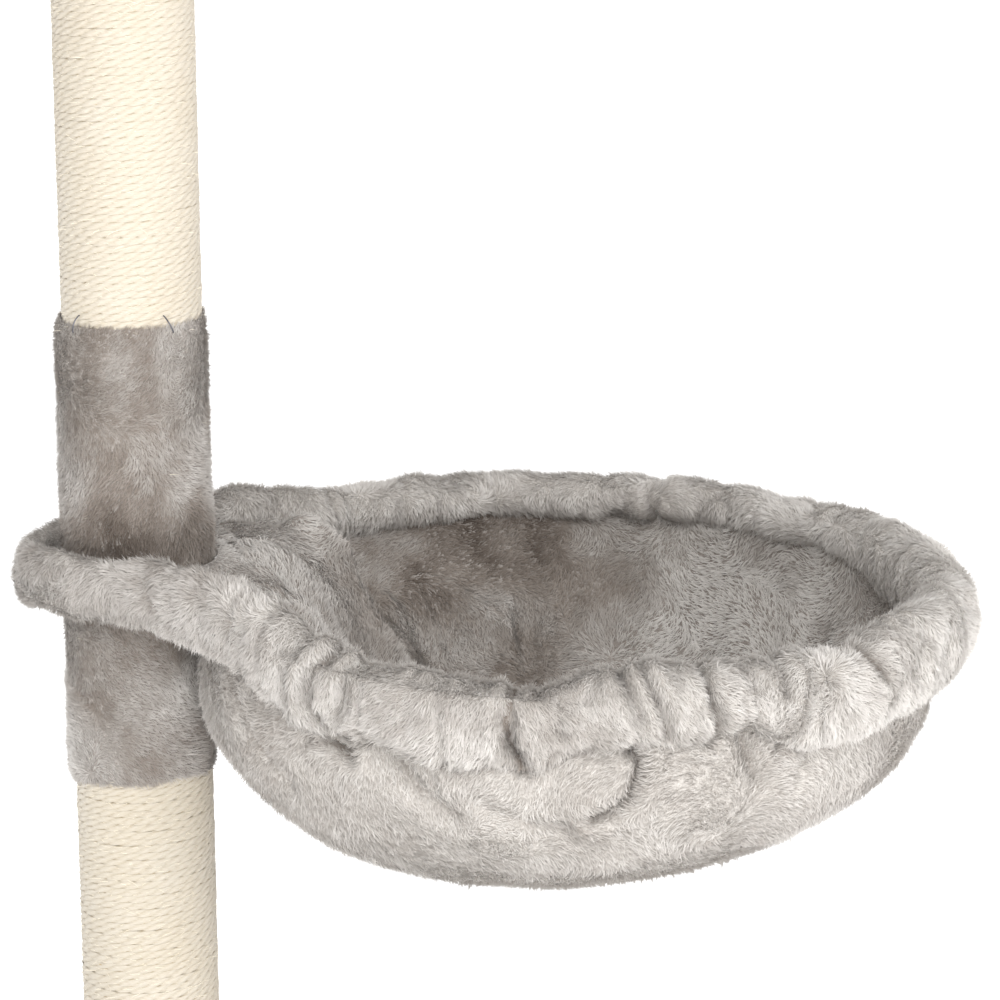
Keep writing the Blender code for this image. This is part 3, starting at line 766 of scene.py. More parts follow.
def from_post(root):
    """How near each root is to the sleeve, and the way straight out from the post: pile there lies clear of it."""
    way = np.stack([root[:, 0] - PX, root[:, 1], 0 * root[:, 0]], 1)
    return smooth(72 * MM, 62 * MM, np.linalg.norm(way, axis=1)), unit(way)


def signed(delta):
    return np.arctan2(np.sin(delta), np.cos(delta))


AROUND = 1080
D = 2 * math.pi * np.arange(AROUND) / AROUND
PATH = np.stack([HOOP_X - path_radius(D) * np.cos(D), path_radius(D) * np.sin(D)], 1)
STEP = np.roll(PATH, -1, 0) - PATH
S = np.concatenate([[0], np.cumsum(np.linalg.norm(STEP, axis=1))])[:-1]
RIM_LENGTH = float(S[-1] + np.linalg.norm(STEP[-1]))
ALONG = unit(np.roll(PATH, -1, 0) - np.roll(PATH, 1, 0))
OUT = np.stack([ALONG[:, 1], -ALONG[:, 0]], 1)
OUT = OUT * np.sign((OUT * (PATH - [HOOP_X, 0])).sum(1, keepdims=True))

# The gathered roll's upper and lower edges: degrees round the hoop from the post, then
# millimetres over the hoop's plane.
ROLL_EDGES = [
    (0, 18, -20), (8, 20, -18), (24, 25, -17), (36, 20, -19), (46, 11, -21), (56, 7, -23),
    (62, 12, -21), (71, 9, -19), (77, 12, -17), (90, 12, -17), (106, 16, -16), (122, 18, -12),
    (136, 20, -9), (148, 24, -9), (162, 27, -25), (180, 28, -31), (200, 31, -31), (212, 34, -25),
    (221, 34, -28), (229, 22, -36), (237, 29, -30), (242, 22, -24), (248, 28, -17), (254, 22, -18),
    (261, 28, -18), (267, 27, -22), (271, 19, -26), (274, 12, -38), (278, 9, -41), (285, 12, -43),
    (292, 17, -42), (299, 10, -38), (306, 18, -39), (313, 18, -36), (318, 31, -28), (325, 37, -17),
    (335, 37, -10), (342, 33, -13), (347, 24, -12), (352, 26, -12), (356, 22, -17), (360, 18, -20),
]
_t = np.array(ROLL_EDGES, float)


def edge_of(delta, column):
    deg = np.degrees(delta) % 360
    return np.mean([np.interp((deg + k) % 360, _t[:, 0], _t[:, column]) for k in (-1.5, 0, 1.5)], axis=0) * MM


# Creases in the gathers: degrees round the hoop and millimetres over its plane, then depth
# and width in millimetres.
CREASES = [
    ([(304, 40), (305, 32), (306, 21), (308.5, -4), (308.7, -17), (307.4, -25), (306.5, -34), (303.5, -41)], 15, 4.5),
    ([(302.9, 8), (302.3, -4), (303.6, -15)], 6, 5),
    ([(324, -28), (319.5, -31), (313.8, -27)], 7, 3),
    ([(311.4, -40), (306, -36), (304, -41)], 6, 3),
    ([(291, -43), (290.6, -52)], 5, 3),
    ([(297, -38), (295, -45), (294.2, -52), (291.9, -61), (288, -70)], 8, 7),
    ([(278, 22), (278.8, 12), (279.7, -6), (279.2, -20), (277.5, -35)], 14, 4),
    ([(276.5, 16), (274.0, -4), (272.5, -12)], 6, 5),
    ([(264.5, 34), (263.2, 16), (262, 2)], 9, 5),
    ([(261.8, 34), (260, 13), (259, 1), (258.4, -9)], 12, 3.5),
    ([(253.4, 30), (252.3, 9), (251.6, -6), (251.8, -20)], 13, 3.5),
    ([(246.5, 30), (246, 18)], 6, 4),
    ([(241, 34), (240.7, 22), (241.5, 12)], 8, 3.5),
    ([(236.5, 16), (237.7, 0), (238.3, -16), (240.4, -31)], 9, 4),
    ([(232, 32), (233.5, 14)], 8, 4),
    ([(222, 38), (225, 33), (225.6, 22), (224, 8)], 12, 4),
    ([(214, 38), (215, 20)], 8, 4),
    ([(341.9, 25), (340.3, 10), (337.4, -6)], 7, 4),
    ([(345.5, 12), (342, 9), (338.5, 8)], 4, 3),
    ([(332, 34), (327, 20), (322, 12)], 4, 5),
    ([(262.5, -24), (261.2, -32), (261.9, -44), (262.7, -56), (265, -64), (268, -71)], 13, 4.5),
    ([(273, -24), (267, -26), (262, -22)], 6, 4),
    ([(247, -14), (245, -40), (243, -58)], 7, 6),
    ([(236, -32), (234, -45), (236, -60)], 6, 5),
    ([(285, -60), (279, -72), (272, -78)], 6, 8),
    ([(330, -28), (324, -52), (318, -70)], 7, 7),
]
rng = np.random.default_rng(77)
a = 6.0
while a < 212:
    still = 40 < a < 140
    a += rng.uniform(9, 19) if still else rng.uniform(5.5, 12)
    tall = rng.uniform(14, 30)
    bend = rng.uniform(-4.5, 4.5)
    deep = rng.uniform(2.0, 6.5) if still else rng.uniform(4, 10)
    CREASES.append(([(a, tall), (a + bend, tall * 0.3), (a + bend * 0.4, -tall * 0.7)], deep, rng.uniform(3, 6.5)))
MM_PER_RAD = 262.0


def creases(delta, height):
    """How far the creases pull the cloth in, in metres, and how far it swells between them."""
    shape = np.broadcast(delta, height).shape
    d = np.broadcast_to(delta, shape)
    h = np.broadcast_to(height, shape) / MM
    total = np.zeros(shape)
    for line, deep, wide in CREASES:
        centre = math.radians(float(np.mean([q[0] for q in line])))
        reach = max(abs(math.radians(q[0]) - centre) for q in line) + 12 * wide / MM_PER_RAD
        near = np.abs(signed(d - centre)) < reach
        if not near.any():
            continue
        px = signed(d[near] - centre) * MM_PER_RAD
        py = h[near]
        best = np.full(px.shape, np.inf)
        for (a0, h0), (a1, h1) in zip(line[:-1], line[1:]):
            ax, bx = (math.radians(a0) - centre) * MM_PER_RAD, (math.radians(a1) - centre) * MM_PER_RAD
            ex, ey = bx - ax, h1 - h0
            t = np.clip(((px - ax) * ex + (py - h0) * ey) / (ex * ex + ey * ey), 0, 1)
            best = np.minimum(best, np.hypot(px - ax - t * ex, py - h0 - t * ey))
        total[near] += deep * np.exp(-best / wide) - 0.30 * deep * np.exp(-(((best - 2.2 * wide) / (1.6 * wide)) ** 2))
    return total * MM


# ---------------------------------------------------------------- hammock: gathered roll and collar
def ring_points():
    around = 2 * math.pi * S / RIM_LENGTH
    return np.stack([np.cos(around), np.sin(around)], 1) * RIM_LENGTH / (2 * math.pi)


def make_roll():
    rows = 84
    phi = np.radians(np.linspace(238, -88, rows))[:, None]
    d = D[None, :]
    away = np.abs(signed(D))[None, :]
    w = smooth(math.radians(16), math.radians(42), away)
    top, low = edge_of(D, 1)[None, :], edge_of(D, 2)[None, :]
    half_tall = (top - low) / 2
    half_wide = (10.5 + 10.5 * w) * MM
    sunk = (top + low) / 2
    shift = -6.5 * MM * w
    c, s = np.cos(phi) + 0 * d, np.sin(phi) + 0 * d
    # A squarer section than an ellipse, as cloth over a wire with slack in it.
    round_off = (np.abs(c) ** 2.08 + np.abs(s) ** 2.08) ** (-1 / 2.08)
    c, s = c * round_off, s * round_off
    ring = ring_points()
    q = np.stack([ring[None, :, 0] + 0 * phi, ring[None, :, 1] + 0 * phi, 0.030 * np.sin(phi) + 0 * d], -1)
    flat_q = q.reshape(-1, 3)
    big = fbm(flat_q / 0.075, 2, 5).reshape(s.shape)
    mid = fbm((q + 3.3 + 0.02 * np.cos(phi)[..., None]).reshape(-1, 3) / [0.030, 0.030, 0.045], 3, 6).reshape(s.shape)
    rumple = np.abs(noise3((q + 1.7).reshape(-1, 3) / [0.022, 0.022, 0.05], 66)).reshape(s.shape)
    v = sunk + half_tall * s
    pull = creases(d, v) * (0.45 + 0.55 * w)
    inner = smooth(0.2, -0.5, c)
    grow = 3.2 * MM * big + 3.0 * MM * mid - 4.0 * MM * (0.35 - np.minimum(rumple, 0.35)) / 0.35 * (0.35 + 0.65 * w)
    u = shift + (half_wide + grow) * c
    v = v + grow * 0.8 * s
    # The creases cut straight in from the side and down from the crest.
    u = u - pull * np.clip(c, -1, 1) * (1 - 0.45 * inner)
    v = v - pull * np.clip(s, 0, 1) * 0.75
    # The cloth lies over the wire, never under it.
    over = smooth(0.0, 0.25, s) * smooth(19 * MM, 8 * MM, np.abs(u))
    v = v + np.maximum(7.5 * MM - v, 0) * over
    before = smooth(0.1, 0.4, c) * smooth(11 * MM, 6 * MM, np.abs(v))
    u = u + np.maximum(7.8 * MM - u, 0) * before
    sway = fbm(np.stack([ring[:, 0], ring[:, 1], 0 * S + 9], 1) / 0.15, 2, 10) * 3.0 * MM
    u = u + sway[None, :] * w
    x = PATH[None, :, 0] + OUT[None, :, 0] * u
    y = PATH[None, :, 1] + OUT[None, :, 1] * u
    z = plane_z(PATH[None, :, 0], PATH[None, :, 1]) + v
    p = clear_of_post(np.stack([PX + x, y, z], -1), 53.2 * MM)
    me = build_mesh("hammock_roll", p.reshape(-1, 3), grid(rows, AROUND, True))
    obj = put("hammock_roll", me, BACK_LIGHT, "hammock")
    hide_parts("hammock_rim", "hammock_collar")
    return obj


ROLL = make_roll()
BOWL_DEEP, BOWL_POWER, SAG = 160 * MM, 2.7, 0.12


def make_bowl():
    rows = 80
    start = -edge_of(D, 2)[None, :] - 14 * MM
    start = np.clip(start, 4 * MM, 40 * MM)
    last = np.arccos((start / BOWL_DEEP) ** (BOWL_POWER / 2))
    k = np.linspace(0.0, 1.0, rows + 1)[1:, None]
    psi = last * k**0.85
    share = np.sin(psi) ** (2 / BOWL_POWER)
    drop = BOWL_DEEP * np.cos(psi) ** (2 / BOWL_POWER)
    d = D[None, :] + 0 * psi
    radius = bowl_radius(d) * share
    p = at(radius, d, -drop)
    lumps = fbm(p.reshape(-1, 3) / [0.060, 0.060, 0.070], 3, 15).reshape(d.shape)
    small = fbm(p.reshape(-1, 3) / 0.026, 2, 16).reshape(d.shape)
    wall = smooth(0.0, 0.45, k)
    # It bellies out under the straight side, towards the post.
    radius = radius + 13 * MM * np.exp(-((signed(d) / math.radians(50)) ** 2)) * np.exp(-(((drop - 62 * MM) / (42 * MM)) ** 2))
    far = np.exp(-((signed(d - math.pi) / math.radians(55)) ** 2))
    radius = radius - 8 * MM * far * np.exp(-(((drop - 38 * MM) / (34 * MM)) ** 2))
    # Slack hangs from the gathers in soft upright folds.
    pleat = np.sin(11 * d + 2.2 * fbm(p.reshape(-1, 3) / 0.11, 2, 18).reshape(d.shape) * 2)
    hang = np.exp(-np.maximum(drop - start, 0) / (40 * MM))
    pull = creases(d, -drop)
    radius = radius - pull * wall + (3.6 * lumps + 1.4 * small + 2.4 * pleat * hang) * MM * wall
    radius = radius - 7 * MM * smooth(16 * MM, 0, drop - start)
    p = at(radius, d, -drop)
    x = p[..., 0] - PX
    p[..., 2] += SAG * (x - HOOP_X) * (drop / BOWL_DEEP)
    p[..., 2] += 2.5 * MM * lumps * (1 - smooth(0.3, 0.9, k))
    p = clear_of_post(p, 57.0 * MM)
    pole = at(np.array([0.0]), np.array([0.0]), -BOWL_DEEP)
    verts = np.concatenate([p.reshape(-1, 3), pole])
    n = len(verts) - 1
    i = np.arange(AROUND)
    cap = np.stack([np.full(AROUND, n), (i + 1) % AROUND, i], 1)
    me = build_mesh("hammock_bowl", verts, grid(rows, AROUND, True)[:, ::-1], cap[:, ::-1])
    obj = put("hammock_bowl", me, BACK_LIGHT, "hammock")
    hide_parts("hammock_outer")
    return obj


BOWL = make_bowl()

# Folds in the lining: plan positions from the post's axis, then height and width, all in
# millimetres. A negative height is a groove.
FOLDS = [
    ([(120, 190), (148, 175), (165, 157), (186, 138), (206, 129)], 8, 17),
    ([(95, 96), (113, 92), (133, 88), (153, 88), (176, 89)], 13, 12),
    ([(205, 205), (215, 198), (235, 186)], 12, 12),
    ([(49, 96), (75, 117), (98, 135), (119, 117), (132, 99)], -11, 9),
    ([(70, -60), (95, -85), (120, -115)], -8, 9),
    ([(100, 30), (140, 10), (190, 15)], 7, 14),
    ([(110, -30), (150, -45), (200, -40)], 8, 14),
    ([(150, 60), (190, 50)], -9, 11),
    ([(330, 60), (370, 100), (410, 120)], 7, 16),
    ([(300, 20), (350, 10), (420, 30)], 6, 18),
]
WALL_FOLDS = [(64, 7, 2.6), (71, 9, 2.6), (79, 8, 2.8), (86, 8, 3.0), (97, 5, 3.5), (110, 6, 4), (124, 5, 4), (139, 6, 4), (152, 7, 3.5), (163, 6, 3.5), (175, 5, 4), (190, 6, 4), (203, 5, 4)]


# Puffs and dimples on the steep back of the lining: x, y and height over the hoop's plane,
# then how far it stands out and how wide it is.
DIMPLES = [
    ([(118, 150, -4), (136, 171, -13), (165, 191, -30), (193, 205, -39), (208, 210, -45)], 14, 7),
    ([(120, 155, -22), (146, 175, -30), (170, 190, -38)], -9, 7),
    ([(156, 186, -42), (160, 187, -42)], 14, 9),
    ([(190, 203, -48), (196, 205, -49)], 15, 9),
    ([(211, 213, -18), (218, 214, -42)], -9, 5),
    ([(198, 208, -20), (201, 209, -34)], 6, 6),
    ([(236, 219, -20), (238, 219, -40)], 8, 10),
    ([(257, 222, -18), (259, 220, -44)], -8, 7),
    ([(290, 220, -24), (300, 214, -44)], 6, 12),
    ([(318, 215, -25), (322, 205, -60)], -6, 9),
    ([(220, 200, -62), (260, 190, -78)], 8, 14),
    ([(196, 190, -70), (240, 170, -92)], -8, 12),
    ([(150, 160, -62), (180, 165, -72)], -8, 10),
    ([(96, 92, 8), (112, 88, 0), (126, 90, -10), (142, 96, -24), (156, 104, -40)], 10, 9),
]


def dimples(p):
    x, y = p[:, 0] - PX, p[:, 1]
    q = np.stack([x, y, p[:, 2] - plane_z(x, y)], 1) / MM
    total = np.zeros(len(q))
    for line, tall, wide in DIMPLES:
        best = np.full(len(q), np.inf)
        for a, b in zip(line[:-1], line[1:]):
            a, e = np.array(a, float), np.subtract(b, a).astype(float)
            f = np.clip((q - a) @ e / (e @ e), 0, 1)
            best = np.minimum(best, np.linalg.norm(q - a - f[:, None] * e, axis=1))
        total += tall * np.exp(-((best / wide) ** 2))
    return total * MM


def make_lining():
    rows = 90
    inner = (14 * smooth(math.radians(16), math.radians(42), np.abs(signed(D))) + 7) * MM
    collar = path_radius(D) - 6.5 * MM - inner + (5 + 6 * smooth(math.radians(30), math.radians(60), np.abs(signed(D)))) * MM
    across = HOOP_X * np.sin(D)
    post = 51.3 * MM
    hits = (np.abs(across) < post) & (np.abs(signed(D)) < math.pi / 2)
    near = HOOP_X * np.cos(D) - np.sqrt(np.maximum(post**2 - across**2, 0))
    edge = np.where(hits, np.minimum(near, collar), collar)
    edge = np.mean([np.roll(edge, k) for k in (-2, -1, 0, 1, 2)], axis=0)[None, :]
    k = np.linspace(0, 1, rows + 1)[1:, None]
    t = np.sin(k * math.pi / 2) ** 0.9
    away = np.abs(signed(D))[None, :]
    shelf = 1 - smooth(math.radians(20), math.radians(66), away)
    deep = BOWL_DEEP - 9 * MM
    radius = edge * t
    round_side = (1 - np.minimum(t, 1) ** 2.6) ** (1 / 2.6)
    slope = 1 - smooth(0.34, 0.90, radius / (226 * MM))
    drop = deep * (round_side * (1 - shelf) + slope * shelf)
    top, low = edge_of(D, 1)[None, :], edge_of(D, 2)[None, :]
    high_edge = np.maximum((top + low) / 2, 9 * MM)
    low_edge = low * 0.65
    rise = high_edge * shelf * smooth(0.30, 0.62, t) + low_edge * (1 - shelf) * smooth(0.9, 1.0, t)
    d = D[None, :] + 0 * radius
    for deg, deep_fold, wide in WALL_FOLDS:
        turn = signed(d - math.radians(deg) + 0.05 * np.sin(6 * t + deg))
        amount = deep_fold * MM * np.exp(-((turn / math.radians(wide)) ** 2))
        radius = radius - amount * smooth(0.55, 0.85, t) * smooth(1.0, 0.95, t)
    p = at(radius, d, -drop + rise)
    x = p[..., 0] - PX
    y = p[..., 1]
    p[..., 2] += SAG * (x - HOOP_X) * (drop / BOWL_DEEP)
    flat = p.reshape(-1, 3)
    free = smooth(1.0, 0.93, t)
    for line, tall, wide in FOLDS:
        best = np.full(x.shape, np.inf)
        for (x0, y0), (x1, y1) in zip(line[:-1], line[1:]):
            ex, ey = (x1 - x0) * MM, (y1 - y0) * MM
            f = np.clip(((x - x0 * MM) * ex + (y - y0 * MM) * ey) / (ex * ex + ey * ey), 0, 1)
            best = np.minimum(best, np.hypot(x - x0 * MM - f * ex, y - y0 * MM - f * ey))
        swell = tall * MM * np.exp(-((best / (wide * MM)) ** 2)) * free
        p[..., 2] += swell
        p[..., 0] += 0.25 * swell * smooth(0.09, 0.14, x) * (tall > 0)
    puff = dimples(flat).reshape(x.shape) * free
    inward = unit(np.stack([HOOP_X - x, -y, 0 * x], -1)) * 0.75 + [0, 0, 0.6]
    p += puff[..., None] * inward
    flat = p.reshape(-1, 3)
    soft = fbm(flat / 0.050, 3, 42).reshape(x.shape)
    wrinkle = np.abs(noise3(flat / [0.045, 0.030, 0.045], 43)).reshape(x.shape)
    near_post = smooth(0.26, 0.10, x)
    p[..., 2] += (5.0 * soft - 5.0 * (0.3 - np.minimum(wrinkle, 0.3)) / 0.3 * near_post) * MM * free
    # Over the frame's straight side and its plate the lining stays on top of them.
    x, y = p[..., 0] - PX, p[..., 1]
    floor = plane_z(x, y) + 7 * MM + 7 * MM * smooth(75 * MM, 55 * MM, np.hypot(x, y))
    cover = smooth(96 * MM, 80 * MM, x) * smooth(150 * MM, 120 * MM, np.abs(y))
    p[..., 2] = np.where(cover > 0, np.maximum(p[..., 2], floor * cover + (floor - 60 * MM) * (1 - cover)), p[..., 2])
    p = clear_of_post(p, 51.3 * MM)
    pole = at(np.array([0.0]), np.array([0.0]), -deep)
    pole[0, 2] += float(np.mean(p[0, :, 2]) - pole[0, 2])
    verts = np.concatenate([p.reshape(-1, 3), pole])
    n = len(verts) - 1
    i = np.arange(AROUND)
    cap = np.stack([np.full(AROUND, n), i, (i + 1) % AROUND], 1)
    me = build_mesh("hammock_inner", verts, grid(rows, AROUND, True), cap[:, ::-1])
    obj = put("hammock_inner", me, BACK_DARK, "hammock")
    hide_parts("hammock_lining")
    return obj


LINING = make_lining()
MIDDLE = np.array([PX + HOOP_X, 0, HOOP_Z - 0.02])


def roll_look(root, normal):
    x, y = root[:, 0] - PX, root[:, 1]
    d = np.arctan2(y, HOOP_X - x)
    outward = unit(np.stack([x - HOOP_X, y, 0 * x], 1))
    facing_in = -(normal * outward).sum(1)
    # At the front the pile sweeps over the crest, so no parting shows there.
    over = smooth(-0.1, 0.5, facing_in) * smooth(-0.02, -0.12, y)
    lie = np.stack([0 * x, 0 * x, -0.45 + 1.1 * over], 1) + outward * (0.3 + 0.9 * over)[:, None]
    lie = lie + 1.7 * swirl(root, 0.050, 61)
    tint = 0.87 + 0.13 * fbm(root / 0.040, 3, 62)
    tint = tint - 0.06 * smooth(math.radians(40), math.radians(15), np.abs(signed(d))) + 0.05 * fbm(root / 0.010, 2, 63)
    # Painted shade on the front roll's inner face, turned away from the light.
    tint = tint - 0.08 * smooth(-0.12, 0.0, y) * smooth(-0.1, 0.75, facing_in) * smooth(math.radians(22), math.radians(45), np.abs(signed(d)))
    # Painted light lightens the far side of the roll and its right end; painted shade darkens its front right a little.
    back = smooth(-0.02, 0.10, y) * smooth(0.50, 0.42, x)
    tint = tint + 0.08 * back - 0.05 * smooth(-0.06, -0.18, y) * smooth(0.20, 0.30, x) + 0.13 * smooth(0.36, 0.46, x)
    # Painted shade in the creases.
    pull = creases(d, root[:, 2] - plane_z(x, y))
    tint = tint - 0.30 * smooth(3.0 * MM, 11 * MM, pull)
    beside, away = from_post(root)
    return lie + 1.6 * away * beside[:, None], tint, 1.0 - np.maximum(0.35 * smooth(3.0 * MM, 10 * MM, pull), 0.3 * beside)


co, no, tri = mesh_arrays(ROLL.data)
centre_line = np.stack([PX + PATH[:, 0], PATH[:, 1], plane_z(PATH[:, 0], PATH[:, 1])], 1)
from_line = co.reshape(-1, AROUND, 3) - centre_line[None]
s = 1.0 if (from_line.reshape(-1, 3) * no).sum() > 0 else -1.0
for k, (name, count, where) in enumerate(
    (
        ("front_left", 66000, lambda p: (p[:, 1] < 0) & (p[:, 0] - PX < 0.26)),
        ("front_right", 66000, lambda p: (p[:, 1] < 0) & (p[:, 0] - PX >= 0.26)),
        ("back_left", 48000, lambda p: (p[:, 1] >= 0) & (p[:, 0] - PX < 0.26)),
        ("back_right", 48000, lambda p: (p[:, 1] >= 0) & (p[:, 0] - PX >= 0.26)),
    )
):
    pile("roll_pile_" + name, ROLL, count, 8.0 * MM, 0.60 * MM, roll_look, "hammock", 71 + k, s, weight=lambda p, where=where: where(p) * 1.0)


def bowl_look(root, normal):
    x, y = root[:, 0] - PX, root[:, 1]
    d = np.arctan2(y, HOOP_X - x)
    lie = np.stack([0 * x, 0 * x, np.full(len(x), -0.6)], 1) + 1.7 * swirl(root, 0.060, 81)
    tint = 0.86 + 0.12 * fbm(root / 0.038, 3, 82) + 0.05 * fbm(root / 0.010, 2, 83)
    height = root[:, 2] - plane_z(x, y) - SAG * (x - HOOP_X) * 0.4
    # Painted shade in the creases.
    pull = creases(d, height)
    tint = tint - 0.26 * smooth(2.5 * MM, 10 * MM, pull)
    tint = tint - 0.08 * smooth(0.20, 0.08, x) - 0.045 * smooth(0.20, 0.30, x)
    beside, away = from_post(root)
    return lie + 3.0 * away * beside[:, None], tint, 1.0 - np.maximum(0.3 * smooth(3.0 * MM, 10 * MM, pull), 0.5 * beside)


co, no, tri = mesh_arrays(BOWL.data)
s = 1.0 if ((co - MIDDLE) * no).sum() > 0 else -1.0
bowl_fur = [
    pile("bowl_pile_front", BOWL, 66000, 8.0 * MM, 0.72 * MM, bowl_look, "hammock", 84, s, weight=lambda p: (p[:, 1] < 0) * 1.0),
    pile("bowl_pile_back", BOWL, 50000, 8.5 * MM, 0.95 * MM, bowl_look, "hammock", 85, s, weight=lambda p: (p[:, 1] >= 0) * 1.0),
]


def lining_look(root, normal):
    x, y = root[:, 0] - PX, root[:, 1]
    inward = unit(np.stack([HOOP_X - x, -y, 0 * x], 1))
    lie = inward * 0.4 + 1.8 * swirl(root, 0.060, 91)
    # Painted shade: the lining gets a darker tint than the outside for the shade inside the bowl, and for the darker
    # look of its nap.
    tint = 0.625 + 0.31 * fbm(root / 0.042, 3, 92) + 0.05 * fbm(root / 0.010, 2, 93)
    # Painted light on the shelf beside the post, which catches the light.
    tint = tint + 0.28 * smooth(0.155, 0.09, x)
    # A painted sheen: a light patch on the far wall.
    spot = np.exp(-(((x - 0.38) / 0.08) ** 2) - (((y - 0.12) / 0.10) ** 2))
    tint = tint + 0.64 * spot
    # Painted shade on the back wall under the rim.
    back = smooth(0.06, 0.16, y) * smooth(0.10, 0.18, x) * smooth(0.34, 0.26, x)
    tint = tint - 0.30 * back * smooth(-0.085, -0.045, root[:, 2] - plane_z(x, y))
    # Painted shade towards the bottom of the bowl.
    pit = smooth(-0.075, -0.125, root[:, 2] - plane_z(x, y))
    tint = tint - 0.06 * pit
    # Painted shade in the dimples and painted light on the puffs.
    puff = dimples(root) / MM
    tint = tint + 0.034 * np.clip(puff, -9, 4)
    beside, away = from_post(root)
    return lie + (0.9 * away - [0, 0, 1.3]) * beside[:, None], tint, 1.0 - 0.25 * beside


co, no, tri = mesh_arrays(LINING.data)
s = 1.0 if ((co - MIDDLE - [0, 0, 0.05]) * no).sum() < 0 else -1.0
lining_fur = [
    pile("lining_pile_left", LINING, 66000, 7.0 * MM, 0.85 * MM, lining_look, "hammock", 94, s, lift=(0.15, 0.45), weight=lambda p: (p[:, 0] - PX < 0.25) * (1.0 + 0.5 * (p[:, 1] > 0))),
    pile("lining_pile_right", LINING, 66000, 7.0 * MM, 0.85 * MM, lining_look, "hammock", 95, s, lift=(0.15, 0.45), weight=lambda p: (p[:, 0] - PX >= 0.25) * (1.0 + 0.5 * (p[:, 1] > 0))),
]


# ---------------------------------------------------------------- covers
def base_cover():
    low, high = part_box("base_cover")
    cx, cy = (low[0] + high[0]) / 2, (low[1] + high[1]) / 2
    L, W = high[0] - low[0], high[1] - low[1]
    top, bottom = high[2] - 0.6 * MM, low[2] + 0.4 * MM

    def loop(offset, z, n=4):
        points = []
        radius = max(47 * MM + offset, 4 * MM)
        hl, hw = L / 2 + offset - radius, W / 2 + offset - radius
        for k, (sx, sy) in enumerate(((1, 1), (-1, 1), (-1, -1), (1, -1))):
            for i in range(9):
                ang = math.pi / 2 * (k + i / 8)
                points.append((cx + sx * hl + radius * math.cos(ang), cy + sy * hw + radius * math.sin(ang)))
            nx, ny = ((-1, 1), (-1, -1), (1, -1), (1, 1))[k]
            ends = (
                ((cx + sx * hl + radius * math.cos(math.pi / 2 * (k + 1))), (cy + sy * hw + radius * math.sin(math.pi / 2 * (k + 1)))),
                ((cx + nx * hl + radius * math.cos(math.pi / 2 * (k + 1))), (cy + ny * hw + radius * math.sin(math.pi / 2 * (k + 1)))),
            )
            for i in range(1, 16):
                f = i / 16
                points.append((ends[0][0] * (1 - f) + ends[1][0] * f, ends[0][1] * (1 - f) + ends[1][1] * f))
        return np.array([(x, y, z) for x, y in points])

    loops = [loop(-0.250 + 0.010, top)]
    for o in np.linspace(-0.225, -0.012, 14):
        loops.append(loop(o, top))
    loops += [loop(-5 * MM, top - 0.2 * MM), loop(-1.5 * MM, top - 1.6 * MM), loop(-0.4 * MM, top - 5 * MM), loop(-0.4 * MM, (top + bottom) / 2), loop(-0.6 * MM, bottom + 3 * MM), loop(-2.5 * MM, bottom + 0.4 * MM), loop(-12 * MM, bottom), loop(-38 * MM, bottom)]
    p = np.array(loops)
    n = p.shape[1]
    wave = fbm(p.reshape(-1, 3) / 0.09, 2, 101).reshape(p.shape[:2])
    p[:16, :, 2] -= 0.5 * MM * (wave[:16] + 1) / 2
    verts = np.concatenate([p.reshape(-1, 3), [[cx, cy, top]]])
    i = np.arange(n)
    cap = np.stack([np.full(n, len(verts) - 1), i, (i + 1) % n], 1)
    me = build_mesh("base_plush", verts, grid(len(loops), n, True)[:, ::-1], cap)
    obj = put("base_plush", me, BACK_MID, "stand")
    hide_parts("base_cover")
    co, no, tri = mesh_arrays(obj.data)
    s = 1.0 if no[len(co) - 1][2] > 0 else -1.0

    def look(root, normal):
        lie = np.stack([0.5 + 0 * root[:, 0], 0 * root[:, 0], -0.3 + 0 * root[:, 0]], 1) + 1.5 * swirl(root, 0.08, 103)
        tint = 0.66 + 0.17 * fbm(root / 0.055, 3, 104) + 0.05 * fbm(root / 0.012, 2, 105)
        share = np.where(root[:, 2] < low[2] + 3 * MM, 0.25, 0.85)
        return lie, tint, share

    def keep(p):
        under = p[:, 2] < bottom + 1.5 * MM
        post = np.hypot(p[:, 0] - PX, p[:, 1]) < 46 * MM
        return np.where(under | post, 0.0, 1.0)

    fur = pile("base_pile", obj, 64000, 9 * MM, 1.5 * MM, look, "stand", 106, s, weight=keep, lift=(0.18, 0.45), over=0.4 * MM)


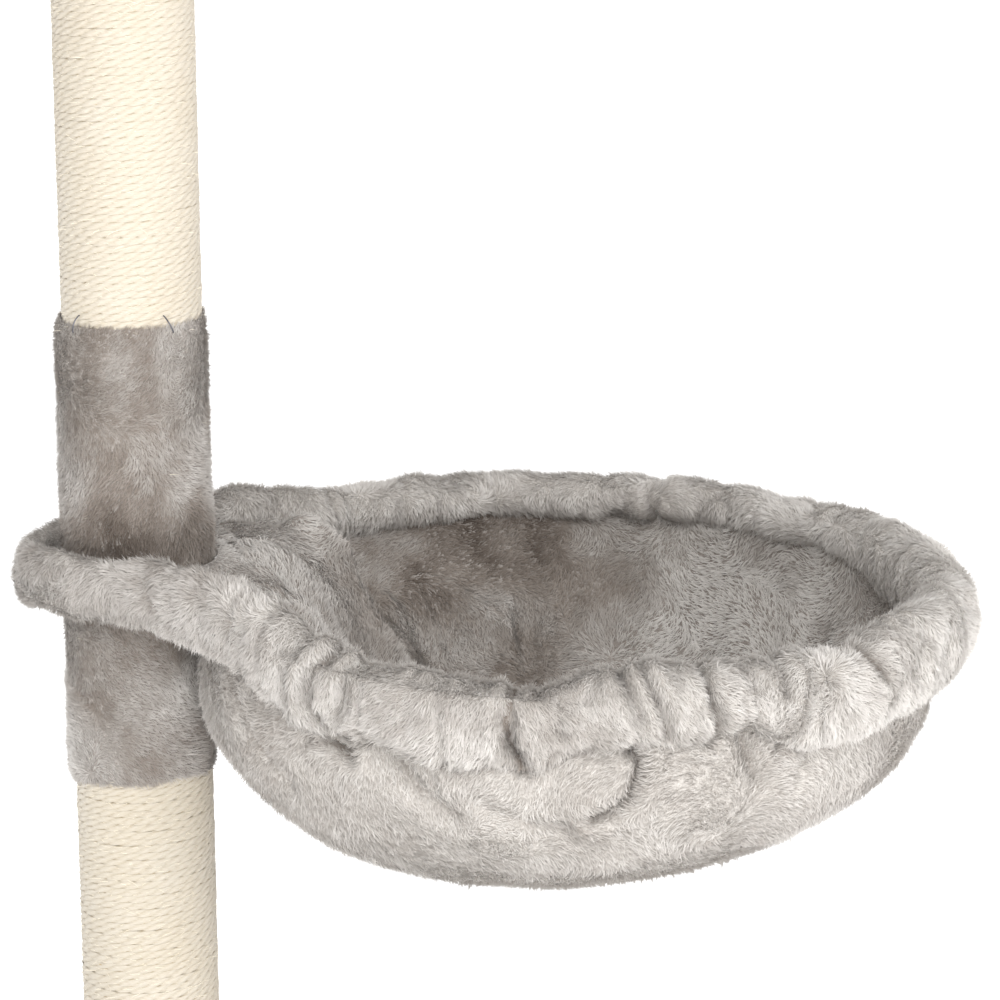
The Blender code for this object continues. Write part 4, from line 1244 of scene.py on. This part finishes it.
def perch_cover():
    low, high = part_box("top_cover")
    R = (high[0] - low[0]) / 2
    top, bottom = high[2] - 0.6 * MM, low[2] + 0.4 * MM
    profile = [(R * f, top) for f in np.linspace(0.06, 0.94, 16)]
    profile += [(R - 4 * MM, top - 0.4 * MM), (R - 1.3 * MM, top - 2.2 * MM), (R - 0.4 * MM, top - 6 * MM), (R - 0.4 * MM, bottom + 6 * MM), (R - 1.4 * MM, bottom + 1.6 * MM), (R - 6 * MM, bottom), (R - 38 * MM, bottom)]
    n = 144
    th = 2 * math.pi * np.arange(n) / n
    p = np.array([[(PX + r * math.cos(t), r * math.sin(t), z) for t in th] for r, z in profile])
    wave = fbm(p.reshape(-1, 3) / 0.07, 2, 111).reshape(p.shape[:2])
    p[:16, :, 2] -= 0.5 * MM * (wave[:16] + 1) / 2
    verts = np.concatenate([p.reshape(-1, 3), [[PX, 0, top]]])
    i = np.arange(n)
    cap = np.stack([np.full(n, len(verts) - 1), i, (i + 1) % n], 1)
    me = build_mesh("perch_plush", verts, grid(len(profile), n, True)[:, ::-1], cap)
    obj = put("perch_plush", me, BACK_MID, "stand")
    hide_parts("top_cover")
    co, no, tri = mesh_arrays(obj.data)
    s = 1.0 if no[len(co) - 1][2] > 0 else -1.0

    def look(root, normal):
        lie = np.stack([0.4 + 0 * root[:, 0], 0.3 + 0 * root[:, 0], -0.3 + 0 * root[:, 0]], 1) + 1.5 * swirl(root, 0.07, 113)
        tint = 0.66 + 0.17 * fbm(root / 0.050, 3, 114) + 0.05 * fbm(root / 0.012, 2, 115)
        return lie, tint, np.full(len(root), 0.85)

    fur = pile("perch_pile", obj, 40000, 9 * MM, 1.2 * MM, look, "stand", 116, s, lift=(0.18, 0.45))


base_cover()
perch_cover()


# ---------------------------------------------------------------- stage, light
def stage():
    bm = bmesh.new()
    bmesh.ops.create_circle(bm, cap_ends=True, segments=96, radius=30)
    me = bpy.data.meshes.new("floor")
    bm.to_mesh(me)
    bm.free()
    floor = bpy.data.objects.new("floor", me)
    floor.location = (0, 0, -0.0006)
    bpy.context.scene.collection.objects.link(floor)
    mat, nt, shader = new_material("floor_paint")
    where = node(nt, "ShaderNodeTexCoord").outputs["Object"]
    dust = noise_node(nt, where, 3.0, 3.0)
    tone = ramp(nt, dust.outputs["Fac"], [(0.3, (0.90, 0.90, 0.90)), (0.7, (0.93, 0.93, 0.93))])
    nt.links.new(tone.outputs["Color"], shader.inputs["Base Color"])
    shader.inputs["Roughness"].default_value = 0.9
    shader.inputs["Specular IOR Level"].default_value = 0.1
    nt.links.new(tone.outputs["Color"], shader.inputs["Emission Color"])
    shader.inputs["Emission Strength"].default_value = 0.36
    me.materials.append(mat)

    world = bpy.data.worlds.new("studio")
    bpy.context.scene.world = world
    world.use_nodes = True
    back = world.node_tree.nodes["Background"]
    back.inputs["Color"].default_value = (1, 1, 1, 1)
    back.inputs["Strength"].default_value = 1.0

    def softbox(name, place, aim, size, power, colour=(1, 1, 1)):
        data = bpy.data.lights.new(name, "AREA")
        data.shape = "RECTANGLE"
        data.size, data.size_y = size
        data.energy = power
        data.color = colour
        obj = bpy.data.objects.new(name, data)
        obj.location = place
        obj.rotation_euler = (Vector(aim) - Vector(place)).to_track_quat("-Z", "Y").to_euler()
        bpy.context.scene.collection.objects.link(obj)

    softbox("key", (-0.4, -2.9, 2.4), (0.05, 0, 0.5), (1.7, 1.5), 52)
    softbox("fill", (2.3, -1.9, 1.5), (0.05, 0, 0.5), (1.4, 1.4), 43)
    softbox("low", (0.2, -2.3, 0.25), (0.05, 0, 0.45), (1.6, 0.4), 17)


stage()
bpy.context.scene.view_settings.view_transform = "Standard"
bpy.context.scene.view_settings.look = "None"
